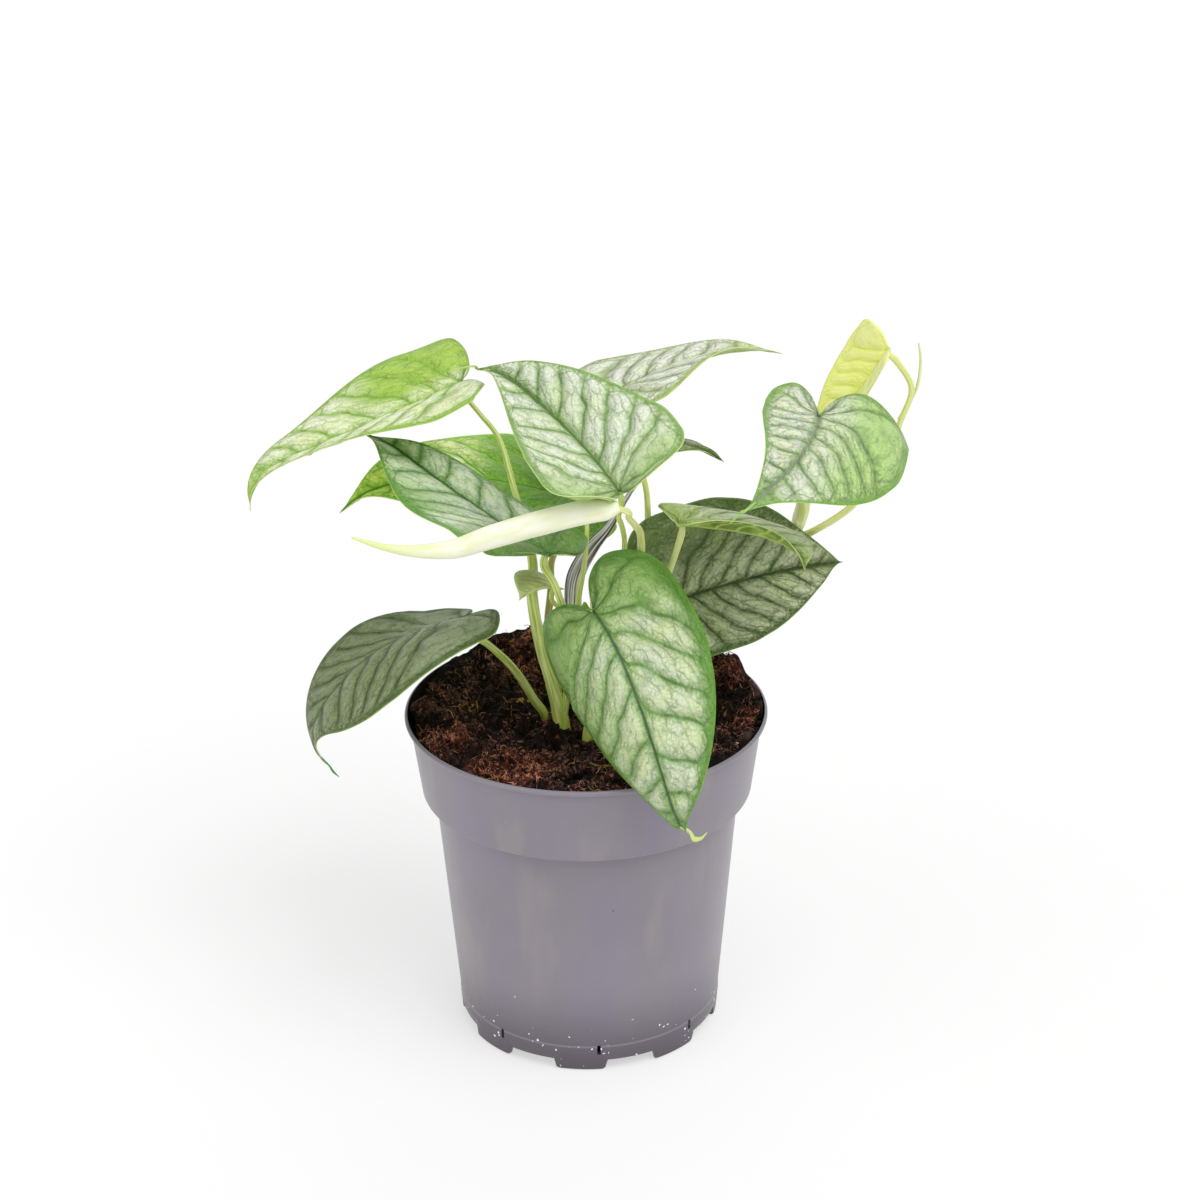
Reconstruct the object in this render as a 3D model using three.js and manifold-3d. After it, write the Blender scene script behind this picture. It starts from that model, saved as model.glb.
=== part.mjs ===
// Potted monstera siltepecana: a young climbing aroid in a round nursery pot.
// Millimetres, Z up. The origin is the middle of the pot's foot, on the surface that it stands on,
// and the front of the plant faces -Y.

import * as THREE from 'three';
import { mergeVertices } from 'three/addons/utils/BufferGeometryUtils.js';
import Module from 'manifold-3d';

const wasm = await Module();
wasm.setup();

// Driving dimensions

const POT = {
  height: 113.5,
  rimRadius: 60,
  lipHeight: 1.8,
  lipSlope: 0.6,
  bandTopRadius: 58.6,
  bandFootRadius: 54.9,
  bandHeight: 27.7,
  bodyTopRadius: 50.8,
  footRadius: 43.6,
  wall: 1.3,
  stepSlope: 0.5,
  floorHeight: 5,
  plugRadius: 8,
};
const FEET = {
  count: 8,
  firstAngle: -94,
  notchWidth: 17.4,
  notchHeight: 3,
  cutDepth: 8,
  slitWidth: 1.2,
  slitFrom: 1,
  slitTo: 4.2,
  slitOffset: 8,
  drainRadius: 3,
  drainCircle: 34,
};
const SOIL = {
  level: 107.5,
  edgeRadius: 56.3,
  gap: 0.35,
  rise: { back: 9, front: 3, right: 6, left: -1 },
  lump: 0.9,
};
const BLADE = { thickness: 0.7, rows: 15, columns: 3, bow: 20, waves: 3.2 };
const STEM = { sides: 8, step: 7, gap: 0.35, holeGap: 0.5 };
// A petiole joins its blade this far ahead of the notch. Its last straight stretch and the bend
// before it are each at most so long, and at most so much of the blade's length.
const JOINT = { ahead: 1.2, stretch: [1.5, 0.08], bend: [2.5, 0.13] };

// Half outline of a heart-shaped blade, from the notch at its base to its drip tip. Backward steps
// are in lobe lengths, forward steps in midrib lengths and sideways steps in half widths.
const HALF_OUTLINE = [
  [0, 0], [-0.7, 0.17], [-1, 0.5], [-0.62, 0.86], [0.08, 1], [0.3, 0.93],
  [0.52, 0.7], [0.72, 0.39], [0.86, 0.15], [0.95, 0.035], [1, 0],
];

// Each blade: base is where its petiole joins it. Azimuth, pitch and roll point the midrib there.
// Droop, curl, sway, twist and hook then bend it on its way to the tip, in degrees. Fold lifts each
// half from flat and cup bends its margin down again. Lopsided and belly are percentages.
const BLADES = [
  {
    name: 'blade_top_left', colour: 0x9cc466,
    base: [-40, 44, 212], azimuth: 193, pitch: -21, roll: 11,
    length: 86, halfWidth: 30, lobe: 6, lopsided: 7, belly: -11,
    droop: -4, curl: 78, sway: -2, twist: 0, hook: 0,
    fold: [34, 8], cup: [24, 24], lift: -1.5, wave: 1.2, phase: 0.3,
  },
  {
    name: 'blade_top_centre', colour: 0xb4cfa8,
    base: [11, -49, 210], azimuth: 107, pitch: 6, roll: -8,
    length: 96, halfWidth: 26, lobe: 14, lopsided: 2, belly: -6,
    droop: -12, curl: 35, sway: -23, twist: -3, hook: 0,
    fold: [54, 17], cup: [42, -11], lift: 4.7, wave: 1, phase: 0.8,
  },
  {
    name: 'blade_mid_left', colour: 0xa3c39a,
    base: [-11, -13, 174], azimuth: 141, pitch: 15, roll: 6,
    length: 89, halfWidth: 30, lobe: 3, lopsided: -34, belly: -20,
    droop: -2, curl: 24, sway: 9, twist: -32, hook: 0,
    fold: [9, 28], cup: [33, 15], lift: -1.4, wave: 2, phase: -0.3,
  },
  {
    name: 'blade_behind_left', colour: 0x7fb543,
    base: [-4, 56, 165], azimuth: 183, pitch: 23, roll: -4,
    length: 84, halfWidth: 30, lobe: 15, lopsided: 3, belly: 10,
    droop: 39, curl: 37, sway: -11, twist: -8, hook: 0,
    fold: [19, 11], cup: [31, 23], lift: 0, wave: 1.4, phase: -0.3,
  },
  {
    name: 'blade_upper_right', colour: 0xaecba5,
    base: [6, 35, 208], azimuth: 27, pitch: 24, roll: -18,
    length: 66, halfWidth: 28, lobe: 15, lopsided: 3, belly: -9,
    droop: 32, curl: 16, sway: 8, twist: -5, hook: 0,
    fold: [12, 20], cup: [37, 11], lift: 0, wave: 1.1, phase: -0.1,
  },
  {
    name: 'blade_behind_right', colour: 0x6f9560,
    base: [2, 52, 191], azimuth: -38, pitch: 10, roll: -9,
    length: 58, halfWidth: 18, lobe: 8, lopsided: -3, belly: 8,
    droop: 9, curl: 22, sway: 3, twist: 3, hook: 0,
    fold: [1, 2], cup: [32, 39], lift: 0, wave: 1, phase: -0.6,
  },
  {
    name: 'blade_right_heart', colour: 0xb2d19b,
    base: [74, -8, 218], azimuth: 263, pitch: 0, roll: -4,
    length: 71, halfWidth: 24, lobe: 15, lopsided: -27, belly: 2,
    droop: 8, curl: 14, sway: 30, twist: -38, hook: 25,
    fold: [18, 15], cup: [19, 50], lift: 3, wave: 0.6, phase: -0.1,
  },
  {
    name: 'blade_unfurling', colour: 0xcdd86a,
    base: [99, 28, 227], azimuth: 178, pitch: -59, roll: -4,
    length: 44, halfWidth: 19, lobe: 3, lopsided: 1, belly: -5,
    droop: -12, curl: 8, sway: 6, twist: -14, hook: 0,
    fold: [37, 19], cup: [30, 14], lift: 0, wave: 0.3, phase: -0.1,
  },
  {
    name: 'blade_dark_right', colour: 0x7f9c77,
    base: [29, 3, 150], azimuth: 18, pitch: 12, roll: 60,
    length: 67, halfWidth: 26, lobe: 13, lopsided: -14, belly: 14,
    droop: 28, curl: 9, sway: 11, twist: -4, hook: 0,
    fold: [26, 22], cup: [16, 12], lift: 2, wave: 1.1, phase: -0.4,
  },
  {
    name: 'blade_arching', colour: 0x9dbf7a,
    base: [30, -20, 187], azimuth: 18, pitch: -7, roll: -83,
    length: 53, halfWidth: 18, lobe: 3, lopsided: -3, belly: 9,
    droop: 97, curl: 22, sway: 17, twist: -22, hook: 0,
    fold: [-45, 112], cup: [34, 62], lift: -2.9, wave: 0.7, phase: -0.2,
  },
  {
    name: 'blade_front', colour: 0xa6c896,
    base: [3, -37, 165], azimuth: -66, pitch: -10, roll: 22,
    length: 89, halfWidth: 31, lobe: 17, lopsided: 13, belly: 14,
    droop: 97, curl: 29, sway: 33, twist: -6, hook: 59,
    fold: [-24, 17], cup: [63, 35], lift: 2.5, wave: 1.4, phase: 0.2,
  },
  {
    name: 'blade_low_left', colour: 0x86a37c,
    base: [-44, -6, 148], azimuth: 201, pitch: -2, roll: 16,
    length: 73, halfWidth: 31, lobe: 12, lopsided: -5, belly: 30,
    droop: 70, curl: 73, sway: 24, twist: -33, hook: 9,
    fold: [-14, 13], cup: [-27, 35], lift: 1.9, wave: -0.4, phase: -0.6,
  },
  {
    name: 'blade_small', colour: 0x86a85c,
    base: [-9, -12, 162], azimuth: 225, pitch: 29, roll: 5,
    length: 19, halfWidth: 8, lobe: 2, lopsided: 60, belly: 6,
    droop: 41, curl: 18, sway: -9, twist: 14, hook: 0,
    fold: [26, 10], cup: [13, 26], lift: 0.2, wave: 0.1, phase: 0,
  },
];

// Each shoot: a main stem and the petioles that leave it, as routes of points from the soil up, each
// point with its radius last. A route that names a blade ends under that blade's base.
const SHOOTS = [
  {
    name: 'shoot_left', colour: 0x9aa84a,
    routes: [
      {
        blade: 'blade_top_left',
        points: [
          [-7, -9, 93, 2.6], [-8, -9, 112, 2.7], [-11, -8, 127, 2.3], [-14, -6, 137, 2],
          [-17, 2, 152, 1.9], [-17, 12, 161, 1.6], [-22, 24, 178, 1.1], [-28, 34, 196, 0.9],
          [-34, 40, 202, 0.8],
        ],
      },
      {
        blade: 'blade_behind_left',
        points: [
          [-9, -9, 118, 1.4], [-11, -3, 133, 1.3], [-12, 2, 144, 1.3], [-11, 8, 152, 1.3],
          [-11, 18, 157, 1.2], [-9, 35, 157, 1.1], [-8.5, 48, 157, 1.1],
        ],
      },
      {
        blade: 'blade_mid_left',
        points: [
          [-8, -9, 110, 1.4], [-6, -10, 125, 1.2], [-5.2, -12.5, 142, 1.1], [-5.4, -16.5, 152, 1.1],
          [-7.2, -19.5, 160, 1.2], [-9.4, -19, 166.5, 1.2],
        ],
      },
      { blade: 'blade_small', points: [[-5.3, -14.4, 149, 0.8], [-6.2, -12.4, 153, 0.7]] },
    ],
  },
  {
    name: 'shoot_middle', colour: 0xa8b455,
    routes: [
      {
        blade: 'blade_top_centre',
        points: [
          [0, -13, 93, 2.2], [1, -13, 110, 2.2], [4, -14, 128, 1.4], [9, -11, 147, 1.1],
          [12, -10, 164, 1], [13, -15, 178, 0.9], [12, -28, 190, 0.9], [11, -39, 198, 0.9],
        ],
      },
      {
        blade: 'leaf_rolled',
        points: [
          [2, -14, 112, 1.4], [9, -15, 138, 1.5], [15.5, -13.5, 161, 1.5], [18, -16, 174.5, 1.3],
          [17.8, -24, 185.5, 1.2], [16, -37, 194, 1.1], [14, -48, 201, 1],
        ],
      },
      {
        blade: 'blade_front',
        points: [[1, -14, 114, 1.3], [3, -20, 130, 1.2], [4, -29, 148, 1.1]],
      },
      {
        blade: 'blade_arching',
        points: [
          [1, -13, 108, 1.3], [9, -15, 122, 1.3], [16, -18, 142, 1.1], [22, -19, 158, 1],
          [27, -20, 171, 1],
        ],
      },
    ],
  },
  {
    name: 'shoot_back', colour: 0x97a748,
    routes: [
      {
        blade: 'blade_upper_right',
        points: [
          [5, 0, 93, 2.2], [6, 2, 108, 2.2], [10, 7, 120, 1.6], [16, 12, 134, 1.3],
          [20, 14, 149, 1.2], [21, 14, 174, 1.1], [20, 12, 188, 1], [16, 15, 198, 0.9],
          [9, 25, 200, 0.9],
        ],
      },
      {
        blade: 'blade_behind_right',
        points: [
          [6, 2, 110, 1.4], [1, 4, 124, 1.2], [-2, 4, 138, 1.1], [-2, 5, 150, 1.1],
          [0, 6, 162, 0.9], [1, 7, 173, 0.8], [1, 18, 181, 0.8], [2, 38, 184, 0.8],
        ],
      },
      {
        blade: 'blade_dark_right',
        points: [[6, 1, 109, 1.4], [13, 4, 124, 1.2], [21, 8, 137, 1.1]],
      },
    ],
  },
  {
    name: 'shoot_right', colour: 0xb3c25e,
    routes: [
      {
        blade: 'blade_right_heart',
        points: [
          [12, 8, 93, 2.2], [12, 8, 108, 2.2], [20, 13, 117, 2], [33, 22, 128, 1.9],
          [47, 32, 141, 1.8], [59, 41, 147, 1.8], [69, 40, 156, 2.1], [72, 28, 170, 2.6],
          [72, 13, 186, 2.2], [73, 0, 203, 1.3],
        ],
      },
      {
        blade: 'blade_unfurling',
        points: [
          [69, 40, 155, 1.5], [78, 32, 163, 1.2], [89, 30, 172, 1.2], [98, 29, 186, 1.1],
          [104, 28, 203, 1], [107, 28, 214, 1],
        ],
      },
    ],
  },
  {
    name: 'petiole_low_left', colour: 0x8a9a45,
    routes: [
      {
        blade: 'blade_low_left',
        points: [
          [-14, 6, 93, 1.5], [-14, 5, 108, 1.5], [-17, 4, 114, 1.5], [-25, 1, 129, 1.3],
          [-36, -3, 141, 1.1],
        ],
      },
    ],
  },
];

// The newest leaf is still rolled: a long spindle whose section is one turn of a spiral
const ROLLED = {
  points: [
    [11, -56, 208, 1.8], [7, -56, 207, 3.6], [0, -56, 206, 4], [-14, -55, 202, 4.1], [-28, -53, 197, 3.9],
    [-39, -52, 193, 3.2], [-50, -51, 192, 2.2], [-60, -50, 193, 1.2], [-70, -49, 196, 0.4],
  ],
  overlap: 0.14,
  // Last two points of its petiole, from the mouth of the roll
  joint: [[2.6, 1.5, -2.4], [1.4, 0.2, -0.3]],
};

// A dried bract stands between the stems, as a flat strip
const DRIED = {
  points: [
    [-2, 10, 93, 1.4], [-2, 10, 108, 1.5], [-3, 13, 124, 2.2], [-4, 16, 141, 2.8], [-3, 17, 153, 3],
    [2, 17, 163, 2.6], [8, 16, 171, 1.6], [13.2, 16, 180, 1], [19.5, 17, 189.5, 0.7],
  ],
  flatness: 0.32,
};

// Small helpers

const rad = THREE.MathUtils.degToRad;
const vec = (x, y, z) => new THREE.Vector3(x, y, z);

/** Direction a turned towards direction b by an angle in radians. */
function turned(a, b, angle) {
  return a.clone().multiplyScalar(Math.cos(angle)).addScaledVector(b, Math.sin(angle));
}

/** Geometry as a manifold solid: corners merged, collapsed triangles left out. */
function toSolid(geometry) {
  const bare = new THREE.BufferGeometry();
  bare.setAttribute('position', geometry.getAttribute('position'));
  bare.setIndex(geometry.getIndex());
  const merged = mergeVertices(bare, 1e-4);
  const index = merged.getIndex().array;
  const kept = [];
  for (let k = 0; k < index.length; k += 3) {
    const [a, b, c] = [index[k], index[k + 1], index[k + 2]];
    if (a !== b && b !== c && c !== a) kept.push(a, b, c);
  }
  const vertProperties = Float32Array.from(merged.getAttribute('position').array);
  return new wasm.Manifold(new wasm.Mesh({ numProp: 3, vertProperties, triVerts: Uint32Array.from(kept) }));
}

/** Manifold solid as a three.js geometry. */
function toGeometry(solid) {
  const mesh = solid.getMesh();
  const geometry = new THREE.BufferGeometry();
  geometry.setAttribute('position', new THREE.BufferAttribute(Float32Array.from(mesh.vertProperties), 3));
  geometry.setIndex(new THREE.BufferAttribute(Uint32Array.from(mesh.triVerts), 1));
  geometry.computeVertexNormals();
  return geometry;
}

/** Geometry from a list of corner vectors and a flat list of corner numbers. */
function facets(corners, index) {
  const geometry = new THREE.BufferGeometry();
  geometry.setFromPoints(corners);
  geometry.setIndex(index);
  geometry.computeVertexNormals();
  return geometry;
}

/** Named piece with its own material. */
function piece(name, geometry, color, roughness = 0.5) {
  const material = new THREE.MeshStandardMaterial({ color, roughness, metalness: 0 });
  const mesh = new THREE.Mesh(geometry, material);
  mesh.name = name;
  return mesh;
}

// Pot

/** Inner radius of the pot's wall at a height. */
function innerRadius(z) {
  const bandFoot = POT.height - POT.bandHeight;
  if (z <= bandFoot) {
    return THREE.MathUtils.mapLinear(z, 0, bandFoot, POT.footRadius, POT.bodyTopRadius) - POT.wall;
  }
  return THREE.MathUtils.mapLinear(z, bandFoot, POT.height, POT.bandFootRadius, POT.bandTopRadius) - POT.wall;
}

/** Wall, floor, stepped band and lip turned round the axis, with a plug under the middle to rest on. */
function potShell() {
  const bandFoot = POT.height - POT.bandHeight;
  const lipFoot = POT.height - POT.lipHeight;
  const skirtRadius = POT.footRadius - POT.wall;
  const profile = [
    [0, 0], [POT.plugRadius, 0], [POT.plugRadius, POT.floorHeight], [skirtRadius, POT.floorHeight],
    [skirtRadius, 0], [POT.footRadius, 0], [POT.bodyTopRadius, bandFoot], [POT.bandFootRadius, bandFoot],
    [POT.bandTopRadius, lipFoot - POT.lipSlope], [POT.rimRadius, lipFoot], [POT.rimRadius, POT.height],
    [innerRadius(POT.height), POT.height], [innerRadius(bandFoot + POT.wall), bandFoot + POT.wall],
    [innerRadius(bandFoot - POT.stepSlope), bandFoot - POT.stepSlope],
    [innerRadius(POT.floorHeight + POT.wall), POT.floorHeight + POT.wall], [0, POT.floorHeight + POT.wall],
  ];
  const lathe = new THREE.LatheGeometry(profile.map(([r, z]) => new THREE.Vector2(r, z)), 64);
  return toSolid(lathe.rotateX(Math.PI / 2));
}

/** Box cutter across the skirt at an angle round the pot, between two heights. */
function skirtCutter(angle, width, low, high) {
  const box = new THREE.BoxGeometry(FEET.cutDepth, width, high - low);
  box.translate(POT.footRadius, 0, (low + high) / 2);
  return toSolid(box.rotateZ(rad(angle)));
}

/** Upright cutter through the floor for a drain hole at an angle round the pot. */
function drainCutter(angle) {
  const drain = new THREE.CylinderGeometry(FEET.drainRadius, FEET.drainRadius, 4 * POT.wall, 12);
  drain.rotateX(Math.PI / 2).translate(FEET.drainCircle, 0, POT.floorHeight + POT.wall);
  return toSolid(drain.rotateZ(rad(angle)));
}

/** Nursery pot with notches between its feet, a slit in each foot and a ring of drain holes. */
function pot() {
  let solid = potShell();
  const pitch = 360 / FEET.count;
  for (let k = 0; k < FEET.count; k += 1) {
    const foot = FEET.firstAngle + k * pitch;
    solid = solid.subtract(skirtCutter(foot + pitch / 2, FEET.notchWidth, -1, FEET.notchHeight));
    solid = solid.subtract(skirtCutter(foot + FEET.slitOffset, FEET.slitWidth, FEET.slitFrom, FEET.slitTo));
    solid = solid.subtract(drainCutter(foot));
  }
  return solid;
}

// Stems

/** Sections of a stalk: its curve sampled at even steps, with a frame and a radius at each sample. */
function stalkRings(points, grow) {
  const curve = new THREE.CatmullRomCurve3(points.map(([x, y, z]) => vec(x, y, z)), false, 'centripetal');
  const count = Math.max(3, Math.round(curve.getLength() / STEM.step));
  const frames = curve.computeFrenetFrames(count, false);
  const rings = [];
  for (let k = 0; k <= count; k += 1) {
    const share = curve.getUtoTmapping(k / count) * (points.length - 1);
    const low = Math.min(Math.floor(share), points.length - 2);
    const radius = THREE.MathUtils.lerp(points[low][3], points[low + 1][3], share - low) + grow;
    rings.push({ centre: curve.getPointAt(k / count), u: frames.normals[k], v: frames.binormals[k], radius });
  }
  return rings;
}

/** Closed stalk along a route. A section gives the ring's points for a radius of one. */
function stalk(points, { grow = 0, section = roundSection(STEM.sides) } = {}) {
  const rings = stalkRings(points, grow);
  const corners = [];
  for (const { centre, u, v, radius } of rings) {
    for (const [a, b] of section) {
      corners.push(centre.clone().addScaledVector(u, a * radius).addScaledVector(v, b * radius));
    }
  }
  const sides = section.length;
  const index = [];
  for (let k = 0; k + 1 < rings.length; k += 1) {
    for (let j = 0; j < sides; j += 1) {
      const [a, b] = [k * sides + j, k * sides + (j + 1) % sides];
      index.push(a, b, b + sides, a, b + sides, a + sides);
    }
  }
  const last = (rings.length - 1) * sides;
  for (let j = 1; j + 1 < sides; j += 1) {
    index.push(0, j + 1, j, last, last + j, last + j + 1);
  }
  return outward(toSolid(facets(corners, index)), corners, index);
}

/** The solid itself, or the same faces turned round where they pointed inwards. */
function outward(solid, corners, index) {
  if (solid.volume() > 0) return solid;
  const flipped = [];
  for (let k = 0; k < index.length; k += 3) flipped.push(index[k], index[k + 2], index[k + 1]);
  return toSolid(facets(corners, flipped));
}

/** Corners of a regular section with a radius of one. */
function roundSection(sides) {
  return Array.from({ length: sides }, (_, k) => {
    const angle = 2 * Math.PI * k / sides;
    return [Math.cos(angle), Math.sin(angle)];
  });
}

/** One turn of a spiral that ends a step outside its start, as a rolled leaf has. */
function spiralSection(sides, overlap) {
  return Array.from({ length: sides }, (_, k) => {
    const share = k / (sides - 1);
    const angle = 2 * Math.PI * share * 0.985;
    const reach = 1 - overlap + overlap * share;
    return [reach * Math.cos(angle), reach * Math.sin(angle)];
  });
}

/** Flat lens section. */
function stripSection(sides, flatness) {
  return roundSection(sides).map(([a, b]) => [a, b * flatness]);
}

// Blades

/** Directions along, out of and across a blade where its petiole joins. */
function baseFrame(leaf) {
  const [azimuth, pitch, roll] = [rad(leaf.azimuth), rad(leaf.pitch), rad(leaf.roll)];
  const level = vec(Math.cos(azimuth), Math.sin(azimuth), 0);
  const along = turned(level, vec(0, 0, 1), pitch);
  const up = turned(vec(0, 0, 1), level, -pitch);
  const across = along.clone().cross(up);
  return { along, up: turned(up, across, roll), across: turned(across, up, -roll) };
}

/** The same three directions at a share of the midrib's length. */
function midribFrame(leaf, share) {
  const { along, up, across } = baseFrame(leaf);
  const late = (from, width) => THREE.MathUtils.clamp((share - from) / width, 0, 1) ** 1.5;
  const droop = rad(leaf.droop * share + leaf.curl * late(0.7, 0.3));
  const sway = rad(leaf.sway * share + leaf.hook * late(0.93, 0.07));
  const twist = rad(leaf.twist * share);
  const swayed = turned(along, across, sway);
  const across2 = turned(across, along, -sway);
  const up2 = turned(up, swayed, droop);
  return {
    along: turned(swayed, up, -droop),
    up: turned(up2, across2, twist),
    across: turned(across2, up2, -twist),
  };
}

/** Points down the midrib, added up from short steps. */
function midribPoints(leaf, steps = 60) {
  const points = [vec(...leaf.base)];
  let before = midribFrame(leaf, 0).along;
  for (let k = 1; k <= steps; k += 1) {
    const after = midribFrame(leaf, k / steps).along;
    const step = before.clone().add(after).multiplyScalar(leaf.length / steps / 2);
    points.push(points[k - 1].clone().add(step));
    before = after;
  }
  return points;
}

/** Flat place of a blade point: t runs along the margin from notch to tip, s from midrib to margin. */
function flatPlace(leaf, outline, side, t, s) {
  const edge = outline.getPoint(t);
  const ahead = Math.max(edge.x, 0);
  const bellied = ahead + leaf.belly / 100 * 4 * ahead * (1 - ahead) ** 2;
  const edgeX = edge.x < 0 ? edge.x * leaf.lobe : bellied * leaf.length;
  const edgeY = edge.y * leaf.halfWidth * (1 + side * leaf.lopsided / 100);
  const rootX = leaf.length * (0.04 * t + 0.96 * Math.max(0, (t - 0.35) / 0.65) ** 1.35);
  const bow = rad(BLADE.bow) * Math.sin(Math.PI * t);
  const [dx, dy] = [edgeX - rootX, edgeY];
  const bendX = rootX + 0.5 * (dx * Math.cos(bow) - dy * Math.sin(bow));
  const bendY = 0.5 * (dx * Math.sin(bow) + dy * Math.cos(bow));
  return [
    (1 - s) ** 2 * rootX + 2 * s * (1 - s) * bendX + s * s * edgeX,
    2 * s * (1 - s) * bendY + s * s * edgeY,
  ];
}

/** Place in space of a blade point on one side of the midrib, +1 or -1. */
function bladePoint(leaf, outline, midrib, side, t, s) {
  const [x, y] = flatPlace(leaf, outline, side, t, s);
  const share = THREE.MathUtils.clamp(x / leaf.length, 0, 1);
  const { along, up, across } = midribFrame(leaf, share);
  const at = share * (midrib.length - 1);
  const low = Math.min(Math.floor(at), midrib.length - 2);
  const place = midrib[low].clone().lerp(midrib[low + 1], at - low);
  const half = side > 0 ? 0 : 1;
  const slope = rad(leaf.fold[half] - leaf.cup[half] * y / (2 * leaf.halfWidth));
  const behind = Math.min(x, 0);
  const turns = BLADE.waves * t + leaf.phase + (side > 0 ? 0.25 : 0);
  const ripple = Math.sin(2 * Math.PI * turns) * Math.sin(Math.PI * t);
  const rise = y * Math.sin(slope) + leaf.lift * (behind / leaf.lobe) ** 2 + leaf.wave * s * s * ripple;
  place.addScaledVector(along, behind);
  place.addScaledVector(across, side * y * Math.cos(slope));
  return place.addScaledVector(up, rise);
}

/** Closed blade: the bent middle surface offset to both faces, with the same triangles on each. */
function blade(leaf) {
  const outline = new THREE.SplineCurve(HALF_OUTLINE.map(([x, y]) => new THREE.Vector2(x, y)));
  const midrib = midribPoints(leaf);
  const { rows, columns } = BLADE;
  const wide = 2 * columns + 1;
  const middle = [bladePoint(leaf, outline, midrib, 1, 0, 0)];
  for (let i = 1; i < rows; i += 1) {
    for (let j = -columns; j <= columns; j += 1) {
      middle.push(bladePoint(leaf, outline, midrib, j < 0 ? -1 : 1, i / rows, Math.abs(j) / columns));
    }
  }
  middle.push(bladePoint(leaf, outline, midrib, 1, 1, 0));
  const tip = middle.length - 1;
  const at = (i, j) => (i === 0 ? 0 : i === rows ? tip : 1 + (i - 1) * wide + j);
  const sheet = [];
  for (let i = 0; i < rows; i += 1) {
    for (let j = 0; j + 1 < wide; j += 1) {
      const [a, b, c, d] = [at(i, j), at(i, j + 1), at(i + 1, j), at(i + 1, j + 1)];
      if (a !== b) sheet.push(a, b, c);
      if (c !== d) sheet.push(b, d, c);
    }
  }
  const normals = facets(middle, sheet).getAttribute('normal');
  const offset = (k, side) => middle[k].clone().addScaledVector(
    vec(normals.getX(k), normals.getY(k), normals.getZ(k)), side * BLADE.thickness / 2);
  const corners = [...middle.map((_, k) => offset(k, 1)), ...middle.map((_, k) => offset(k, -1))];
  const count = middle.length;
  const index = [...sheet];
  for (let k = 0; k < sheet.length; k += 3) {
    index.push(sheet[k] + count, sheet[k + 2] + count, sheet[k + 1] + count);
  }
  for (let i = 0; i < rows; i += 1) {
    const [a, b] = [at(i, 0), at(i + 1, 0)];
    const [c, d] = [at(i, wide - 1), at(i + 1, wide - 1)];
    index.push(a, b, b + count, a, b + count, a + count);
    index.push(c, d + count, d, c, c + count, d + count);
  }
  return outward(toSolid(facets(corners, index)), corners, index);
}

/**
 * Last three points of a petiole: a bend halfway between its own direction and the blade's, then
 * straight up to the blade's underside, short of it by the gap.
 */
function petioleEnd(leaf, [x, y, z, radius]) {
  const fitted = ([most, share]) => Math.min(most, share * leaf.length);
  const [stretch, bend] = [fitted(JOINT.stretch), fitted(JOINT.bend)];
  const { along, up, across } = baseFrame(leaf);
  const reach = BLADE.thickness / 2 + STEM.gap;
  const [right, left] = leaf.fold.map(rad);
  const out = up.clone().multiplyScalar(Math.cos(right) + Math.cos(left));
  out.addScaledVector(across, Math.sin(left) - Math.sin(right)).normalize();
  const end = vec(...leaf.base).addScaledVector(along, JOINT.ahead);
  const [corner, top] = [stretch, 0].map((below) => end.clone().addScaledVector(out, -reach - below));
  const halfway = corner.clone().sub(vec(x, y, z)).normalize().add(out).normalize();
  const early = corner.clone().addScaledVector(halfway, -bend);
  return [early, corner, top].map((place) => [...place.toArray(), radius]);
}

/** Route of one petiole, closed off under the blade that it carries. */
function fullRoute(route) {
  const leaf = BLADES.find(({ name }) => name === route.blade);
  const last = route.points[route.points.length - 1];
  if (!leaf) {
    const [x, y, z] = ROLLED.points[0];
    return [...route.points, ...ROLLED.joint.map(([dx, dy, dz]) => [x + dx, y + dy, z + dz, last[3]])];
  }
  return [...route.points, ...petioleEnd(leaf, last)];
}

/** Shoot: its main stem fused with every petiole that leaves it. */
function shoot({ routes }) {
  return routes.map((route) => stalk(fullRoute(route))).reduce((a, b) => a.add(b));
}

// Soil

/** Height of the soil's surface: a mound against the back and right of the pot, with low lumps. */
function soilHeight(x, y) {
  const { level, rise, lump } = SOIL;
  const radius = POT.bandTopRadius;
  const deep = (y > 0 ? rise.back : rise.front) * (y / radius) ** 2;
  const wide = (x > 0 ? rise.right : rise.left) * (x / radius) ** 2;
  const broad = Math.sin(0.23 * x + 1.3) * Math.sin(0.21 * y + 0.7);
  const fine = 0.7 * Math.sin(0.43 * x - 0.37 * y + 2);
  return level + deep + wide + lump * (broad + fine) * Math.min(1, Math.hypot(x, y) / 12);
}

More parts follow.
